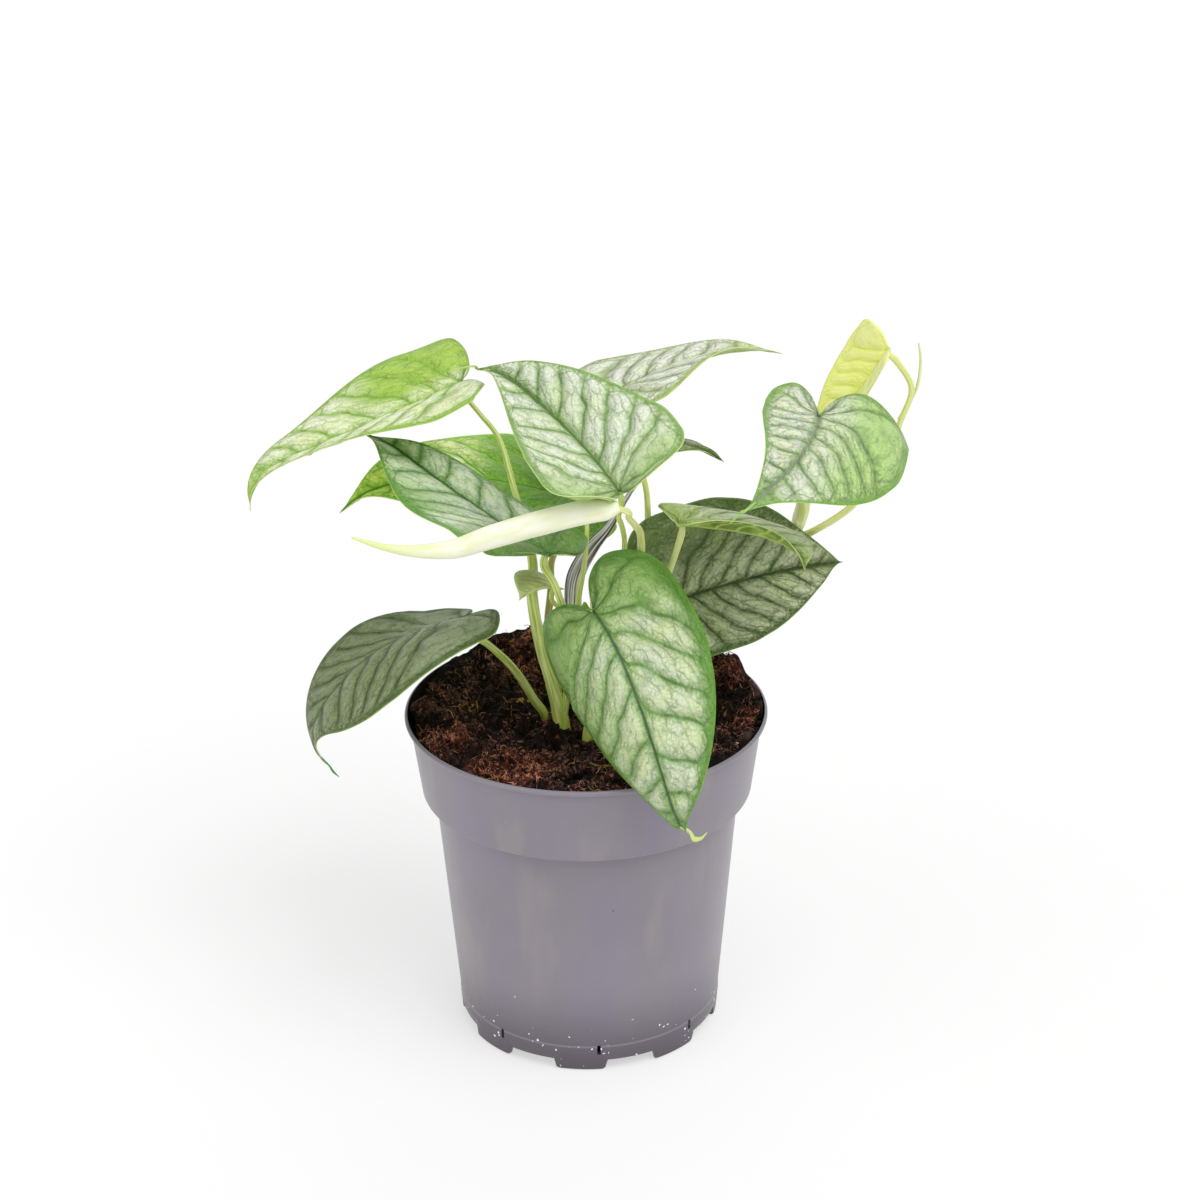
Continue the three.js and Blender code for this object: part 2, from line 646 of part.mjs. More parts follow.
/** Soil that fills the pot just clear of its wall, before the holes for the stems. */
function soilBody() {
  const [around, rings] = [44, 9];
  const floor = POT.floorHeight + POT.wall + SOIL.gap;
  const bandFoot = POT.height - POT.bandHeight;
  const corners = [vec(0, 0, soilHeight(0, 0))];
  const ringOf = [];
  const addRing = (place) => {
    ringOf.push(corners.length);
    for (let k = 0; k < around; k += 1) corners.push(place(2 * Math.PI * k / around));
  };
  for (let ring = 1; ring <= rings; ring += 1) {
    addRing((angle) => {
      const [c, s] = [Math.cos(angle), Math.sin(angle)];
      const edge = soilHeight(c * SOIL.edgeRadius, s * SOIL.edgeRadius);
      const reach = (innerRadius(Math.min(edge, POT.height)) - SOIL.gap) * ring / rings;
      return vec(c * reach, s * reach, ring === rings ? edge : soilHeight(c * reach, s * reach));
    });
  }
  for (const z of [bandFoot + POT.wall, bandFoot - POT.stepSlope, floor]) {
    addRing((angle) => {
      const reach = innerRadius(z) - SOIL.gap;
      const raised = z === floor ? z : z + SOIL.gap;
      return vec(Math.cos(angle) * reach, Math.sin(angle) * reach, raised);
    });
  }
  corners.push(vec(0, 0, floor));
  const index = [];
  for (let k = 0; k < around; k += 1) {
    const next = (k + 1) % around;
    index.push(0, ringOf[0] + k, ringOf[0] + next);
    for (let ring = 0; ring + 1 < ringOf.length; ring += 1) {
      const [a, b] = [ringOf[ring], ringOf[ring + 1]];
      index.push(a + k, b + k, b + next, a + k, b + next, a + next);
    }
    const foot = ringOf[ringOf.length - 1];
    index.push(corners.length - 1, foot + next, foot + k);
  }
  return outward(toSolid(facets(corners, index)), corners, index);
}

/** Soil with a plain hole round the foot of each stem. */
function soil() {
  const feet = [...SHOOTS.map(({ routes }) => routes[0].points), DRIED.points];
  return feet.reduce((solid, points) => {
    const [low, ...rest] = points.slice(0, 4);
    const deeper = [low[0], low[1], low[2] - STEM.gap, low[3]];
    return solid.subtract(stalk([deeper, ...rest], { grow: STEM.holeGap }));
  }, soilBody());
}

// Assembly

const plant = new THREE.Group();
plant.add(piece('pot', toGeometry(pot()), 0x8f8890, 0.45));
plant.add(piece('soil', toGeometry(soil()), 0x2f1e17, 0.95));
for (const stems of SHOOTS) plant.add(piece(stems.name, toGeometry(shoot(stems)), stems.colour, 0.5));
for (const leaf of BLADES) plant.add(piece(leaf.name, toGeometry(blade(leaf)), leaf.colour, 0.4));
const rolled = stalk(ROLLED.points, { section: spiralSection(13, ROLLED.overlap) });
plant.add(piece('leaf_rolled', toGeometry(rolled), 0xeef2bd, 0.45));
const dried = stalk(DRIED.points, { section: stripSection(8, DRIED.flatness) });
plant.add(piece('dried_bract', toGeometry(dried), 0x8c8380, 0.8));

export default plant;
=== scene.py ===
# %% [markdown]
# # A young Monstera siltepecana in its nursery pot
#
# This lesson dresses a small climbing aroid: heart-shaped leaves with silver between green veins,
# long petioles, a newest leaf that is still rolled, peaty soil and a round plastic pot. The plain
# solids come from the frame. Here each one is replaced by a finer surface that keeps its form.
#
# All lengths are in millimetres and become metres when a mesh is made.

import bpy
import numpy as np
from mathutils import Matrix


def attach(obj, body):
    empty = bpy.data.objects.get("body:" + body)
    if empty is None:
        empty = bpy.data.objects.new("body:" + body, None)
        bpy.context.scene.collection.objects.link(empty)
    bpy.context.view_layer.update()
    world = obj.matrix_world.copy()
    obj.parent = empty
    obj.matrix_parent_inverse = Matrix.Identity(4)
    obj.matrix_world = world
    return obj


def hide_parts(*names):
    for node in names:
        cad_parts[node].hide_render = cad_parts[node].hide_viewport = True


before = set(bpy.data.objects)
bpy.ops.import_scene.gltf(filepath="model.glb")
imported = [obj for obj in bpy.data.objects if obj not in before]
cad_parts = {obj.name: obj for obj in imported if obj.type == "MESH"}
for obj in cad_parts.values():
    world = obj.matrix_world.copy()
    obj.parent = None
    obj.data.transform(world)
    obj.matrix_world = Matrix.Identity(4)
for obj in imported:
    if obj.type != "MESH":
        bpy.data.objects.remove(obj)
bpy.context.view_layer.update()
MM = 0.001
rng = np.random.default_rng(7)

# %% [markdown]
# ## The camera
#
# The pot's two ellipses fix the view: how flat they are gives the height of the camera, and how much
# the pot tapers in the picture gives its distance. A frame of three directions is worked out from
# the elevation and the roll, and turned into the camera's matrix.

# %% Camera
CAMERA = {"distance": 900, "elevation": 24.33, "aim": (5, 0, 152.2), "roll": -0.6, "focal_px": 2768}
IMAGE_PX = 1200
SENSOR_MM = 36


def camera_axes(elevation, roll):
    """Right, up and back directions: back is tilted up by the elevation, and right and up are turned
    round it by the roll, r' = r cos a + u sin a and u' = u cos a - r sin a."""
    back = np.array([0, -np.cos(elevation), np.sin(elevation)])
    right = np.array([1.0, 0, 0])
    up = np.cross(back, right)
    turned_right = right * np.cos(roll) + up * np.sin(roll)
    turned_up = up * np.cos(roll) - right * np.sin(roll)
    return turned_right, turned_up, back


def make_camera():
    """Camera on its axis of sight, at its distance from the point that it is aimed at."""
    right, up, back = camera_axes(*np.radians([CAMERA["elevation"], CAMERA["roll"]]))
    place = (np.array(CAMERA["aim"]) + CAMERA["distance"] * back) * MM
    data = bpy.data.cameras.new("camera")
    data.sensor_width = SENSOR_MM
    data.lens = CAMERA["focal_px"] / IMAGE_PX * SENSOR_MM
    data.clip_start = 0.01
    camera = bpy.data.objects.new("camera", data)
    turn = Matrix(np.stack([right, up, back], 1).tolist()).to_4x4()
    camera.matrix_world = Matrix.Translation(place.tolist()) @ turn
    bpy.context.scene.collection.objects.link(camera)
    bpy.context.scene.camera = camera
    return camera


camera = make_camera()
stands = [round(v, 3) for v in camera.matrix_world.translation]
print("camera at", stands, "lens", round(camera.data.lens, 2))

# %% [markdown]
# ## Small tools for meshes
#
# Every piece is a grid of points worked out as whole arrays. Small helpers turn a grid into
# triangles, weld the points that fall on one place, such as a pole, and turn the faces outwards.
# The last one hands the arrays to Blender with foreach_set, which is far quicker than adding
# vertices one by one. Soil and leaves also need a smooth noise that gives the same bumps each run.


# %% Mesh tools
def grid_triangles(rows, columns, around=False):
    """Two triangles for each cell of a grid of points numbered row by row. With around, the last
    column is joined to the first."""
    number = np.arange(rows * columns).reshape(rows, columns)
    if around:
        number = np.hstack([number, number[:, :1]])
    a, b = number[:-1, :-1], number[:-1, 1:]
    c, d = number[1:, :-1], number[1:, 1:]
    return np.concatenate([np.stack([a, b, d], -1), np.stack([a, d, c], -1)]).reshape(-1, 3)


def welded(points, triangles, values):
    """Points at one place made one, with collapsed triangles left out. Also says which are kept."""
    _, first, number = np.unique(np.round(points, 4), axis=0, return_index=True, return_inverse=True)
    triangles = number.reshape(-1)[triangles]
    a, b, c = triangles.T
    sound = (a != b) & (b != c) & (c != a)
    return points[first], triangles[sound], {name: value[first] for name, value in values.items()}, sound


def outward(points, triangles):
    """Triangles turned round if the solid that they close has a volume below nought."""
    a, b, c = (points[triangles[:, k]] for k in range(3))
    volume = np.einsum("ij,ij->", a, np.cross(b, c)) / 6
    return triangles if volume > 0 else triangles[:, ::-1]


def make_piece(name, points, triangles, values=None, kinds=None, sharp=None):
    """Object from points in mm, triangles, values kept on the points, and a material number for
    each triangle. Edges steeper than sharp, in degrees, stay sharp."""
    kinds = np.zeros(len(triangles), int) if kinds is None else kinds
    points, triangles, values, sound = welded(points, triangles, values or {})
    triangles = outward(points, triangles)
    mesh = bpy.data.meshes.new(name)
    mesh.vertices.add(len(points))
    mesh.vertices.foreach_set("co", (points * MM).astype(np.float32).ravel())
    mesh.loops.add(triangles.size)
    mesh.loops.foreach_set("vertex_index", triangles.astype(np.int32).ravel())
    mesh.polygons.add(len(triangles))
    mesh.polygons.foreach_set("loop_start", np.arange(0, triangles.size, 3, dtype=np.int32))
    mesh.polygons.foreach_set("material_index", kinds[sound].astype(np.int32))
    mesh.polygons.foreach_set("use_smooth", np.ones(len(triangles), bool))
    for key, value in values.items():
        layer = mesh.attributes.new(key, "FLOAT_VECTOR", "POINT")
        layer.data.foreach_set("vector", value.astype(np.float32).ravel())
    mesh.update(calc_edges=True)
    mesh.validate()
    if sharp is not None:
        mesh.set_sharp_from_angle(angle=np.radians(sharp))
    piece = bpy.data.objects.new(name, mesh)
    bpy.context.scene.collection.objects.link(piece)
    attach(piece, "root")
    return piece


print("grid of 3 by 4 points:", len(grid_triangles(3, 4)), "triangles")


# %% Noise and steps
def lattice_noise(places, step, seed=0):
    """Smooth noise from -1 to 1: a hashed value on each corner of a lattice of that step, blended
    along each axis by 3 f f - 2 f f f."""
    cell = np.asarray(places, float) / step
    low = np.floor(cell).astype(np.int64)
    part = cell - low
    part = part * part * (3 - 2 * part)
    total = np.zeros(cell.shape[:-1])
    for corner in np.ndindex(*(2,) * cell.shape[-1]):
        key = (low + corner) * np.array([73856093, 19349663, 83492791][:cell.shape[-1]])
        mixed = (np.bitwise_xor.reduce(key, -1) ^ (seed * 2654435 + 97)) & 0x7FFFFFFF
        mixed = (mixed ^ (mixed >> 13)) * 1274126177 & 0x7FFFFFFF
        value = (mixed ^ (mixed >> 16)) / 0x3FFFFFFF - 1
        weight = np.prod(np.where(np.array(corner) == 1, part, 1 - part), -1)
        total = total + value * weight
    return total


def smooth_step(low, high, value):
    """0 below low and 1 above high, blended by 3 f f - 2 f f f between them."""
    part = np.clip((value - low) / (high - low), 0, 1)
    return part * part * (3 - 2 * part)


print("noise at three places:", lattice_noise([[0.5, 0.5], [3.2, 1.1], [7, 9]], 2).round(2))

# %% [markdown]
# ## Small tools for materials
#
# Colours are written as sRGB hex values, and one function makes them linear.
# One function adds a node with its settings and its links, so that each material reads as a list
# of what feeds what. Three patterns come back in most finishes: paint laid over a colour where some
# value is high or low, a mask that is the product of several smooth changes, and the last step, in
# which the shader gets its colour and its relief.


# %% Material tools
def linear(hex_colour):
    """Linear red, green, blue and alpha of an sRGB hex colour."""
    parts = np.array([int(hex_colour[k:k + 2], 16) for k in (1, 3, 5)]) / 255
    bent = np.where(parts <= 0.04045, parts / 12.92, ((parts + 0.055) / 1.055) ** 2.4)
    return (*bent.tolist(), 1.0)


def add(tree, kind, settings=None, inputs=()):
    """Outputs of a new node of a kind. Settings are its properties. Each input is a value or the
    output of another node, and they come in the node's own order, or by name or number."""
    node = tree.nodes.new("ShaderNode" + kind)
    for name, value in (settings or {}).items():
        setattr(node, name, value)
    for place, value in inputs.items() if isinstance(inputs, dict) else enumerate(inputs):
        if isinstance(value, bpy.types.NodeSocket):
            tree.links.new(value, node.inputs[place])
        else:
            node.inputs[place].default_value = value
    return node.outputs


def new_finish(name, settings):
    """Material with one Principled shader, and its node tree."""
    material = bpy.data.materials.new(name)
    material.use_nodes = True
    tree = material.node_tree
    shader = tree.nodes["Principled BSDF"]
    for key, value in settings.items():
        shader.inputs[key].default_value = value
    return material, tree, shader


# Settings that many nodes share
PLUS, MINUS, TIMES = {"operation": "ADD"}, {"operation": "SUBTRACT"}, {"operation": "MULTIPLY"}
TIMES_PLUS = {"operation": "MULTIPLY_ADD"}
LARGER = {"operation": "MAXIMUM"}
SIZE = {"operation": "ABSOLUTE"}
SMOOTH = {"interpolation_type": "SMOOTHSTEP"}
BLEND = {"data_type": "RGBA"}
# A Mix node of colours takes them as inputs 6 and 7 and gives output 2
A, B, MIXED = 6, 7, 2
print("hex #808080 is", round(linear("#808080")[0], 3), "linear")


# %% Paint and masks
def painted(tree, colour, layers):
    """Colour with layers laid over it. A layer is a value, the two ends between which it changes
    smoothly, the layer's amounts at those ends, and its hex colour."""
    for *change, paint in layers:
        amount = add(tree, "MapRange", SMOOTH, change)[0]
        colour = add(tree, "Mix", BLEND, {0: amount, A: colour, B: linear(paint)})[MIXED]
    return colour


def mask(tree, first, *others):
    """Product of smooth changes. Each is a value, the two ends between which it counts, and the
    numbers at those ends, which are 0 and 1 where they are left out."""
    product = add(tree, "MapRange", SMOOTH, first)[0]
    for change in others:
        part = add(tree, "MapRange", SMOOTH, change)[0]
        product = add(tree, "Math", TIMES, (product, part))[0]
    return product


def dress(tree, shader, colour, relief=None, strength=1.0, deep=0.1):
    """Links the colour to the shader, and a bump that rises deep mm while the relief rises by 1."""
    tree.links.new(colour, shader.inputs["Base Color"])
    if relief is not None:
        bump = add(tree, "Bump", {}, {"Strength": strength, "Distance": deep * MM, "Height": relief})[0]
        tree.links.new(bump, shader.inputs["Normal"])


print("material tools ready")

# %% [markdown]
# ## Light and floor
#
# The plant stands in a light tent: white walls all round, a large soft box high in front, and
# weaker ones at the left and behind. A bright even world gives the tent. The soft boxes are
# suns with a very wide disc, because they light the whole floor evenly and still shade softly.

# %% Soft boxes
WORLD_STRENGTH = 0.56
SOFT_BOXES = [
    {"name": "key_box", "from": (0.45, -0.45, 1.0), "disc": 46, "strength": 1.55},
    {"name": "left_box", "from": (-1.0, -0.6, 0.7), "disc": 60, "strength": 0.55},
    {"name": "back_box", "from": (0.3, 1.0, 0.9), "disc": 60, "strength": 0.3},
]


def aimed(towards):
    """Turn whose Z axis points along the direction towards the light."""
    back = np.array(towards, float)
    back = back / np.linalg.norm(back)
    right = np.cross([0, 0, 1.0], back)
    right = right / np.linalg.norm(right)
    return Matrix(np.stack([right, np.cross(back, right), back], 1).tolist()).to_4x4()


def make_soft_box(box):
    """Sun of a wide disc, seen in that direction."""
    data = bpy.data.lights.new(box["name"], "SUN")
    data.angle = np.radians(box["disc"])
    data.energy = box["strength"]
    lamp = bpy.data.objects.new(box["name"], data)
    lamp.matrix_world = aimed(box["from"])
    bpy.context.scene.collection.objects.link(lamp)


def make_world():
    """Even white surroundings."""
    world = bpy.data.worlds.new("light_tent")
    bpy.context.scene.world = world
    world.use_nodes = True
    backdrop = world.node_tree.nodes["Background"]
    backdrop.inputs["Color"].default_value = (1, 1, 1, 1)
    backdrop.inputs["Strength"].default_value = WORLD_STRENGTH


make_world()
for box in SOFT_BOXES:
    make_soft_box(box)
print("soft boxes:", [box["name"] for box in SOFT_BOXES])


# %% Floor
def make_floor(half=6000):
    """Wide floor of one face: a table of white opal plastic, lit a little from below."""
    corners = np.array([[-half, -half, 0], [half, -half, 0], [half, half, 0], [-half, half, 0]], float)
    mesh = bpy.data.meshes.new("floor")
    mesh.from_pydata((corners * MM).tolist(), [], [(0, 1, 2, 3)])
    floor = bpy.data.objects.new("floor", mesh)
    bpy.context.scene.collection.objects.link(floor)
    glow = {"Emission Color": (1, 1, 1, 1), "Emission Strength": 0.55}
    card, _, _ = new_finish("lit_opal_table", {"Base Color": linear("#aaaaaa"), "Roughness": 0.9, **glow})
    mesh.materials.append(card)


make_floor()
bpy.context.scene.view_settings.view_transform = "Standard"
print("floor ready, view transform:", bpy.context.scene.view_settings.view_transform)

# %% [markdown]
# ## The pot
#
# A nursery pot is injection-moulded polypropylene: one thin wall with a stepped band at the rim, a
# rounded lip, and a ring of feet with notches between them so that water runs off. One profile is
# carried round the axis. The notches come from lifting the foot of the skirt where an angle falls
# between two feet, and the slits and drain holes are cut out with a boolean.

# %% Pot profile
POT = {
    "height": 113.5, "rim": 60, "lip": 1.8, "mouth": 58.9, "wall": 1.3, "floor": 5, "plug": 8,
    "band": 27.7, "band_top": 58.6, "band_foot": 54.9, "band_round": 0.8,
    "body_top": 50.8, "foot": 43.6, "foot_round": 0.35, "ring": 9.5, "ring_stands": 0.28,
}


def wall_radius(z):
    """Outer radius of the pot's wall: a cone up to the band's foot, then the band's wider cone."""
    step = POT["height"] - POT["band"]
    body = POT["foot"] + (POT["body_top"] - POT["foot"]) * z / step
    band = POT["band_foot"] + (POT["band_top"] - POT["band_foot"]) * (z - step) / POT["band"]
    return np.where(z < step, body, band)


def pot_profile():
    """Radius and height round the section, from the plug over the lip to the floor's top, and the side
    of each point, 0 outside and 1 inside. Rounded corners are arcs, r = c + a sin t and z = d - a cos t."""
    step = POT["height"] - POT["band"]
    lip_foot = POT["height"] - POT["lip"]
    skirt = POT["foot"] - POT["wall"]
    quarter = np.radians(np.linspace(0, 90, 5))
    body = np.linspace(0.6, step - 1.2, 26)
    band = np.linspace(step + 0.9, lip_foot - 0.7, 10)
    outside = [[0, 0], [POT["plug"], 0], [POT["plug"], POT["floor"]], [skirt, POT["floor"]], [skirt, 0]]
    outside += [[POT["foot"] - POT["foot_round"], 0]]
    for z in body:
        below = 1 - smooth_step(POT["ring"] - 0.3, POT["ring"] + 0.3, z)
        outside.append([float(wall_radius(z)) + POT["ring_stands"] * below, z])
    outside += [[POT["body_top"] + 0.1, step - 0.35], [POT["body_top"] + 0.9, step]]
    bend = POT["band_round"]
    corner = POT["band_foot"] - bend
    outside += [[corner + bend * np.sin(a), step + bend - bend * np.cos(a)] for a in quarter]
    outside += [[float(wall_radius(z)), z] for z in band]
    lip = POT["lip"] / 2
    bulge = np.radians(np.linspace(-70, 90, 9))
    outside += [[POT["rim"] - lip + lip * np.cos(a), lip_foot + lip + lip * np.sin(a)] for a in bulge]
    inside = [[POT["mouth"] + 0.2, POT["height"] - 0.05], [POT["mouth"], POT["height"] - 0.4]]
    inside += [[POT["mouth"] - 0.1, lip_foot + 0.2]]
    inside += [[float(wall_radius(z)) - POT["wall"], z] for z in band[-2::-1]]
    inside += [[float(wall_radius(z)) - POT["wall"], z] for z in body[::-1] if z > POT["floor"] + 2]
    top = POT["floor"] + POT["wall"]
    inside += [[skirt - 0.6, top + 0.3], [skirt - 1.2, top], [0, top]]
    sides = [0] * len(outside) + [1] * len(inside)
    return np.array(outside + inside), np.array(sides)


print("pot profile:", len(pot_profile()[0]), "points")

# %% Pot shell
FEET = {
    "count": 8, "first": -94, "notch": 17.4, "lift": 3.8, "slit_at": 8, "slit_height": 8.2,
    "slit": (8, 1.2, 3.6), "drain": 3, "circle": 34,
}
POT_AROUND = 320


def make_pot():
    """Profile carried round the axis, x = r cos a and y = r sin a, with the skirt's foot lifted
    between the feet."""
    profile, sides = pot_profile()
    angle = np.linspace(0, 2 * np.pi, POT_AROUND, endpoint=False)
    radius, height = profile[:, :1] + 0 * angle, profile[:, 1:] + 0 * angle
    pitch = 2 * np.pi / FEET["count"]
    from_notch = np.abs((angle - np.radians(FEET["first"])) % pitch - pitch / 2) * POT["foot"]
    lift = FEET["lift"] * (1 - smooth_step(FEET["notch"] / 2 - 0.5, FEET["notch"] / 2 + 0.5, from_notch))
    skirt = (profile[:, 0] > POT["foot"] - POT["wall"] - 0.1) & (profile[:, 1] < POT["floor"] - 0.1)
    squeeze = 1 - height / POT["floor"]
    height = np.where(skirt[:, None], height + lift * squeeze, height)
    points = np.stack([radius * np.cos(angle), radius * np.sin(angle), height], -1)
    triangles = grid_triangles(len(profile), POT_AROUND, around=True)
    rows = triangles.min(1) // POT_AROUND
    return make_piece("pot_shell", points.reshape(-1, 3), triangles, kinds=sides[rows], sharp=40)


pot = make_pot()
print("pot:", len(pot.data.polygons), "triangles")

# %% Slits and drain holes
def box_points(centre, size, angle):
    """Corners of a box turned about the axis of the pot."""
    corners = np.array([[x, y, z] for x in (-0.5, 0.5) for y in (-0.5, 0.5) for z in (-0.5, 0.5)]) * size
    corners = corners + centre
    c, s = np.cos(angle), np.sin(angle)
    return corners @ np.array([[c, s, 0], [-s, c, 0], [0, 0, 1]])


BOX_FACES = [(0, 1, 3, 2), (4, 6, 7, 5), (0, 4, 5, 1), (2, 3, 7, 6), (0, 2, 6, 4), (1, 5, 7, 3)]


def cut(piece, corners, faces):
    """Takes a closed shape out of a piece."""
    mesh = bpy.data.meshes.new("cutter")
    mesh.from_pydata((corners * MM).tolist(), [], faces)
    cutter = bpy.data.objects.new("cutter", mesh)
    bpy.context.scene.collection.objects.link(cutter)
    modifier = piece.modifiers.new("cut", "BOOLEAN")
    modifier.object = cutter
    modifier.solver = "EXACT"
    bpy.context.view_layer.update()
    shaped = piece.evaluated_get(bpy.context.evaluated_depsgraph_get())
    finished = bpy.data.meshes.new_from_object(shaped)
    piece.modifiers.remove(modifier)
    piece.data = finished
    bpy.data.objects.remove(cutter)


def cut_feet():
    """One slit through the wall above each foot, and one round drain hole through the floor."""
    corners, faces = [], []
    around = np.linspace(0, 2 * np.pi, 24, endpoint=False)
    for k in range(FEET["count"]):
        foot = np.radians(FEET["first"] + 360 / FEET["count"] * k)
        middle = (POT["foot"], 0, FEET["slit_height"])
        slit = box_points(middle, FEET["slit"], foot + np.radians(FEET["slit_at"]))
        faces += [tuple(len(corners) + n for n in face) for face in BOX_FACES]
        corners += slit.tolist()
        centre = FEET["circle"] * np.array([np.cos(foot), np.sin(foot)])
        ring = centre + FEET["drain"] * np.stack([np.cos(around), np.sin(around)], 1)
        low, n = len(corners), len(around)
        corners += [[x, y, z] for z in (POT["floor"] - 2, POT["floor"] + 4) for x, y in ring]
        faces += [(low + j, low + (j + 1) % n, low + n + (j + 1) % n, low + n + j) for j in range(n)]
        faces += [tuple(range(low + n - 1, low - 1, -1)), tuple(range(low + n, low + 2 * n))]
    cut(pot, np.array(corners), faces)


cut_feet()
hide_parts("pot")
print("pot after cutting:", len(pot.data.polygons), "faces")

# %% [markdown]
# ## Finish of the pot
#
# Injection-moulded polypropylene with grey pigment: satin, not glossy, slightly mauve, painted darker
# towards the foot as shade. Hard water and peat leave small white specks, thickest near the foot, and
# a few dark crumbs. The inside is wet and stained, and painted nearly black as the shade in the pot.

# %% Pot finish
def pot_plastic():
    """Grey polypropylene: hazed and streaked by soft noise, painted darker at the foot as shade, with a
    pale line on the ring. Specks are Voronoi cells whose random value is high, pushed about a little by
    noise."""
    material, tree, shader = new_finish("satin_grey_polypropylene", {"Roughness": 0.34, "IOR": 1.49})
    place = add(tree, "TexCoord")["Object"]
    height = add(tree, "SeparateXYZ", {}, [place])["Z"]
    haze = add(tree, "TexNoise", {}, {"Vector": place, "Scale": 1 / (28 * MM), "Detail": 4.0})[0]
    upright = add(tree, "VectorMath", TIMES, (place, (1, 1, 0.22)))[0]
    streaks = add(tree, "TexNoise", {}, {"Vector": upright, "Scale": 1 / (13 * MM), "Detail": 3.0})[0]
    from_ring = add(tree, "Math", MINUS, (height, POT["ring"] * MM))[0]
    from_ring = add(tree, "Math", SIZE, [from_ring])[0]
    colour = painted(tree, linear("#857f88"), [
        (haze, 0.3, 0.75, 0.0, 0.6, "#8e8891"),
        (streaks, 0.5, 0.68, 0.0, 0.35, "#837b96"),
        (streaks, 0.46, 0.3, 0.0, 0.4, "#97918f"),
        # Painted shade: the colour darkens towards the foot, low on the pot near the floor
        (height, 36 * MM, -6 * MM, 0.0, 1.0, "#4c464e"),
        (from_ring, 0.1 * MM, 0.6 * MM, 0.25, 0.0, "#b3adb5"),
    ])
    jitter = add(tree, "TexNoise", {}, {"Vector": place, "Scale": 1 / (0.7 * MM), "Detail": 2.0})[1]
    pushed = add(tree, "VectorMath", TIMES_PLUS, (jitter, (MM, MM, MM), place))[0]
    clear = add(tree, "TexNoise", {}, {"Vector": place, "Scale": 1 / (9 * MM), "Detail": 1.0})[0]
    sparse = add(tree, "MapRange", SMOOTH, (clear, 0.6, 0.42, 0.0, 0.35))[0]
    for size, low, high, paint in SPECKS:
        cells = add(tree, "TexVoronoi", {"feature": "F1"}, {"Vector": pushed, "Scale": 1 / (size * MM)})
        lot = add(tree, "SeparateColor", {}, [cells["Color"]])
        needed = add(tree, "MapRange", SMOOTH, (height, 9 * MM, 21 * MM, low, high))[0]
        needed = add(tree, "Math", PLUS, (needed, sparse))[0]
        chosen = add(tree, "Math", {"operation": "GREATER_THAN"}, (lot[0], needed))[0]
        reach = add(tree, "Math", TIMES, (lot[1], 0.3))[0]
        spot = add(tree, "Math", {"operation": "LESS_THAN"}, (cells["Distance"], reach))[0]
        speck = add(tree, "Math", TIMES, (chosen, spot))[0]
        colour = add(tree, "Mix", BLEND, {0: speck, A: colour, B: linear(paint)})[MIXED]
    # The grain of the mould is too fine to show, so it is drawn 0.9 mm wide
    fine = add(tree, "TexNoise", {}, {"Vector": place, "Scale": 1 / (0.9 * MM), "Detail": 2.0})[0]
    dress(tree, shader, colour, fine, 0.06, 0.1)
    return material


def stained_and_shaded_plastic():
    """The same plastic inside, wet and stained with peat, and painted nearly black as the shade inside
    the pot.
    """
    material, tree, shader = new_finish("peat_stained_and_shaded_polypropylene", {"Roughness": 0.3})
    place = add(tree, "TexCoord")["Object"]
    stain = add(tree, "TexNoise", {}, {"Vector": place, "Scale": 1 / (6 * MM), "Detail": 4.0})[0]
    # Painted shade as well as stain: the inner wall is made nearly black because it lies in shade
    colour = add(tree, "Mix", BLEND, {0: stain, A: linear("#080606"), B: linear("#1e1a1b")})[MIXED]
    dress(tree, shader, colour)
    return material


# Specks: mm from one to the next, the random value needed at the foot and higher up, and the colour
SPECKS = [(1.5, 0.5, 0.985, "#fbfbfb"), (4.4, 0.93, 0.97, "#3a3233")]
pot.data.materials.append(pot_plastic())
pot.data.materials.append(stained_and_shaded_plastic())
print("pot materials:", [m.name for m in pot.data.materials])

# %% [markdown]
# ## Soil
#
# Potting soil is damp peat with coir: clods of every size, a low valley at the left, a mound
# against the back and right of the rim, threads of coir lying about, crumbs, and white grains of
# perlite. The surface is a height over polar rings: the broad slope, plus noise of ever finer step.
# Loose crumbs and fibres are copies of one small shape, placed and turned as whole arrays.

# %% Height of the soil
SOIL = {
    "level": 107.5, "back": 9, "front": 3, "right": 6, "left": 2.5, "edge": 58.3,
    "shoulder": 104, "foot": 7,
}
# Mounds and dips: x, y, reach and height
HEAPS = [
    (-34, 26, 15, -5.0), (-14, 24, 9, -2.5), (-52, 6, 10, 2.5), (-26, 14, 8, 2.0), (-23, 51, 12, 3.0),
    (47, 28, 12, 3.5), (-24, -36, 15, 1.8), (10, -26, 12, -2.0), (38, -14, 14, -2.0), (16, 50, 12, 2.0),
    (-46, 36, 13, 3.5),
]


def soil_height(x, y):
    """Broad slopes with the square of x and y, two slow ripples, and the mounds and dips, each a bell
    that falls off by exp(-d d) with d the distance over its reach."""
    radius = POT["band_top"]
    deep = np.where(y > 0, SOIL["back"], SOIL["front"]) * (y / radius) ** 2
    wide = np.where(x > 0, SOIL["right"], SOIL["left"]) * (x / radius) ** 2
    ripple = np.sin(0.23 * x + 1.3) * np.sin(0.21 * y + 0.7) + 0.7 * np.sin(0.43 * x - 0.37 * y + 2)
    near = np.minimum(1, np.hypot(x, y) / 12)
    heaps = sum(high * np.exp(-((x - at_x) ** 2 + (y - at_y) ** 2) / reach ** 2)
                for at_x, at_y, reach, high in HEAPS)
    return SOIL["level"] + deep + wide + 0.9 * ripple * near + heaps


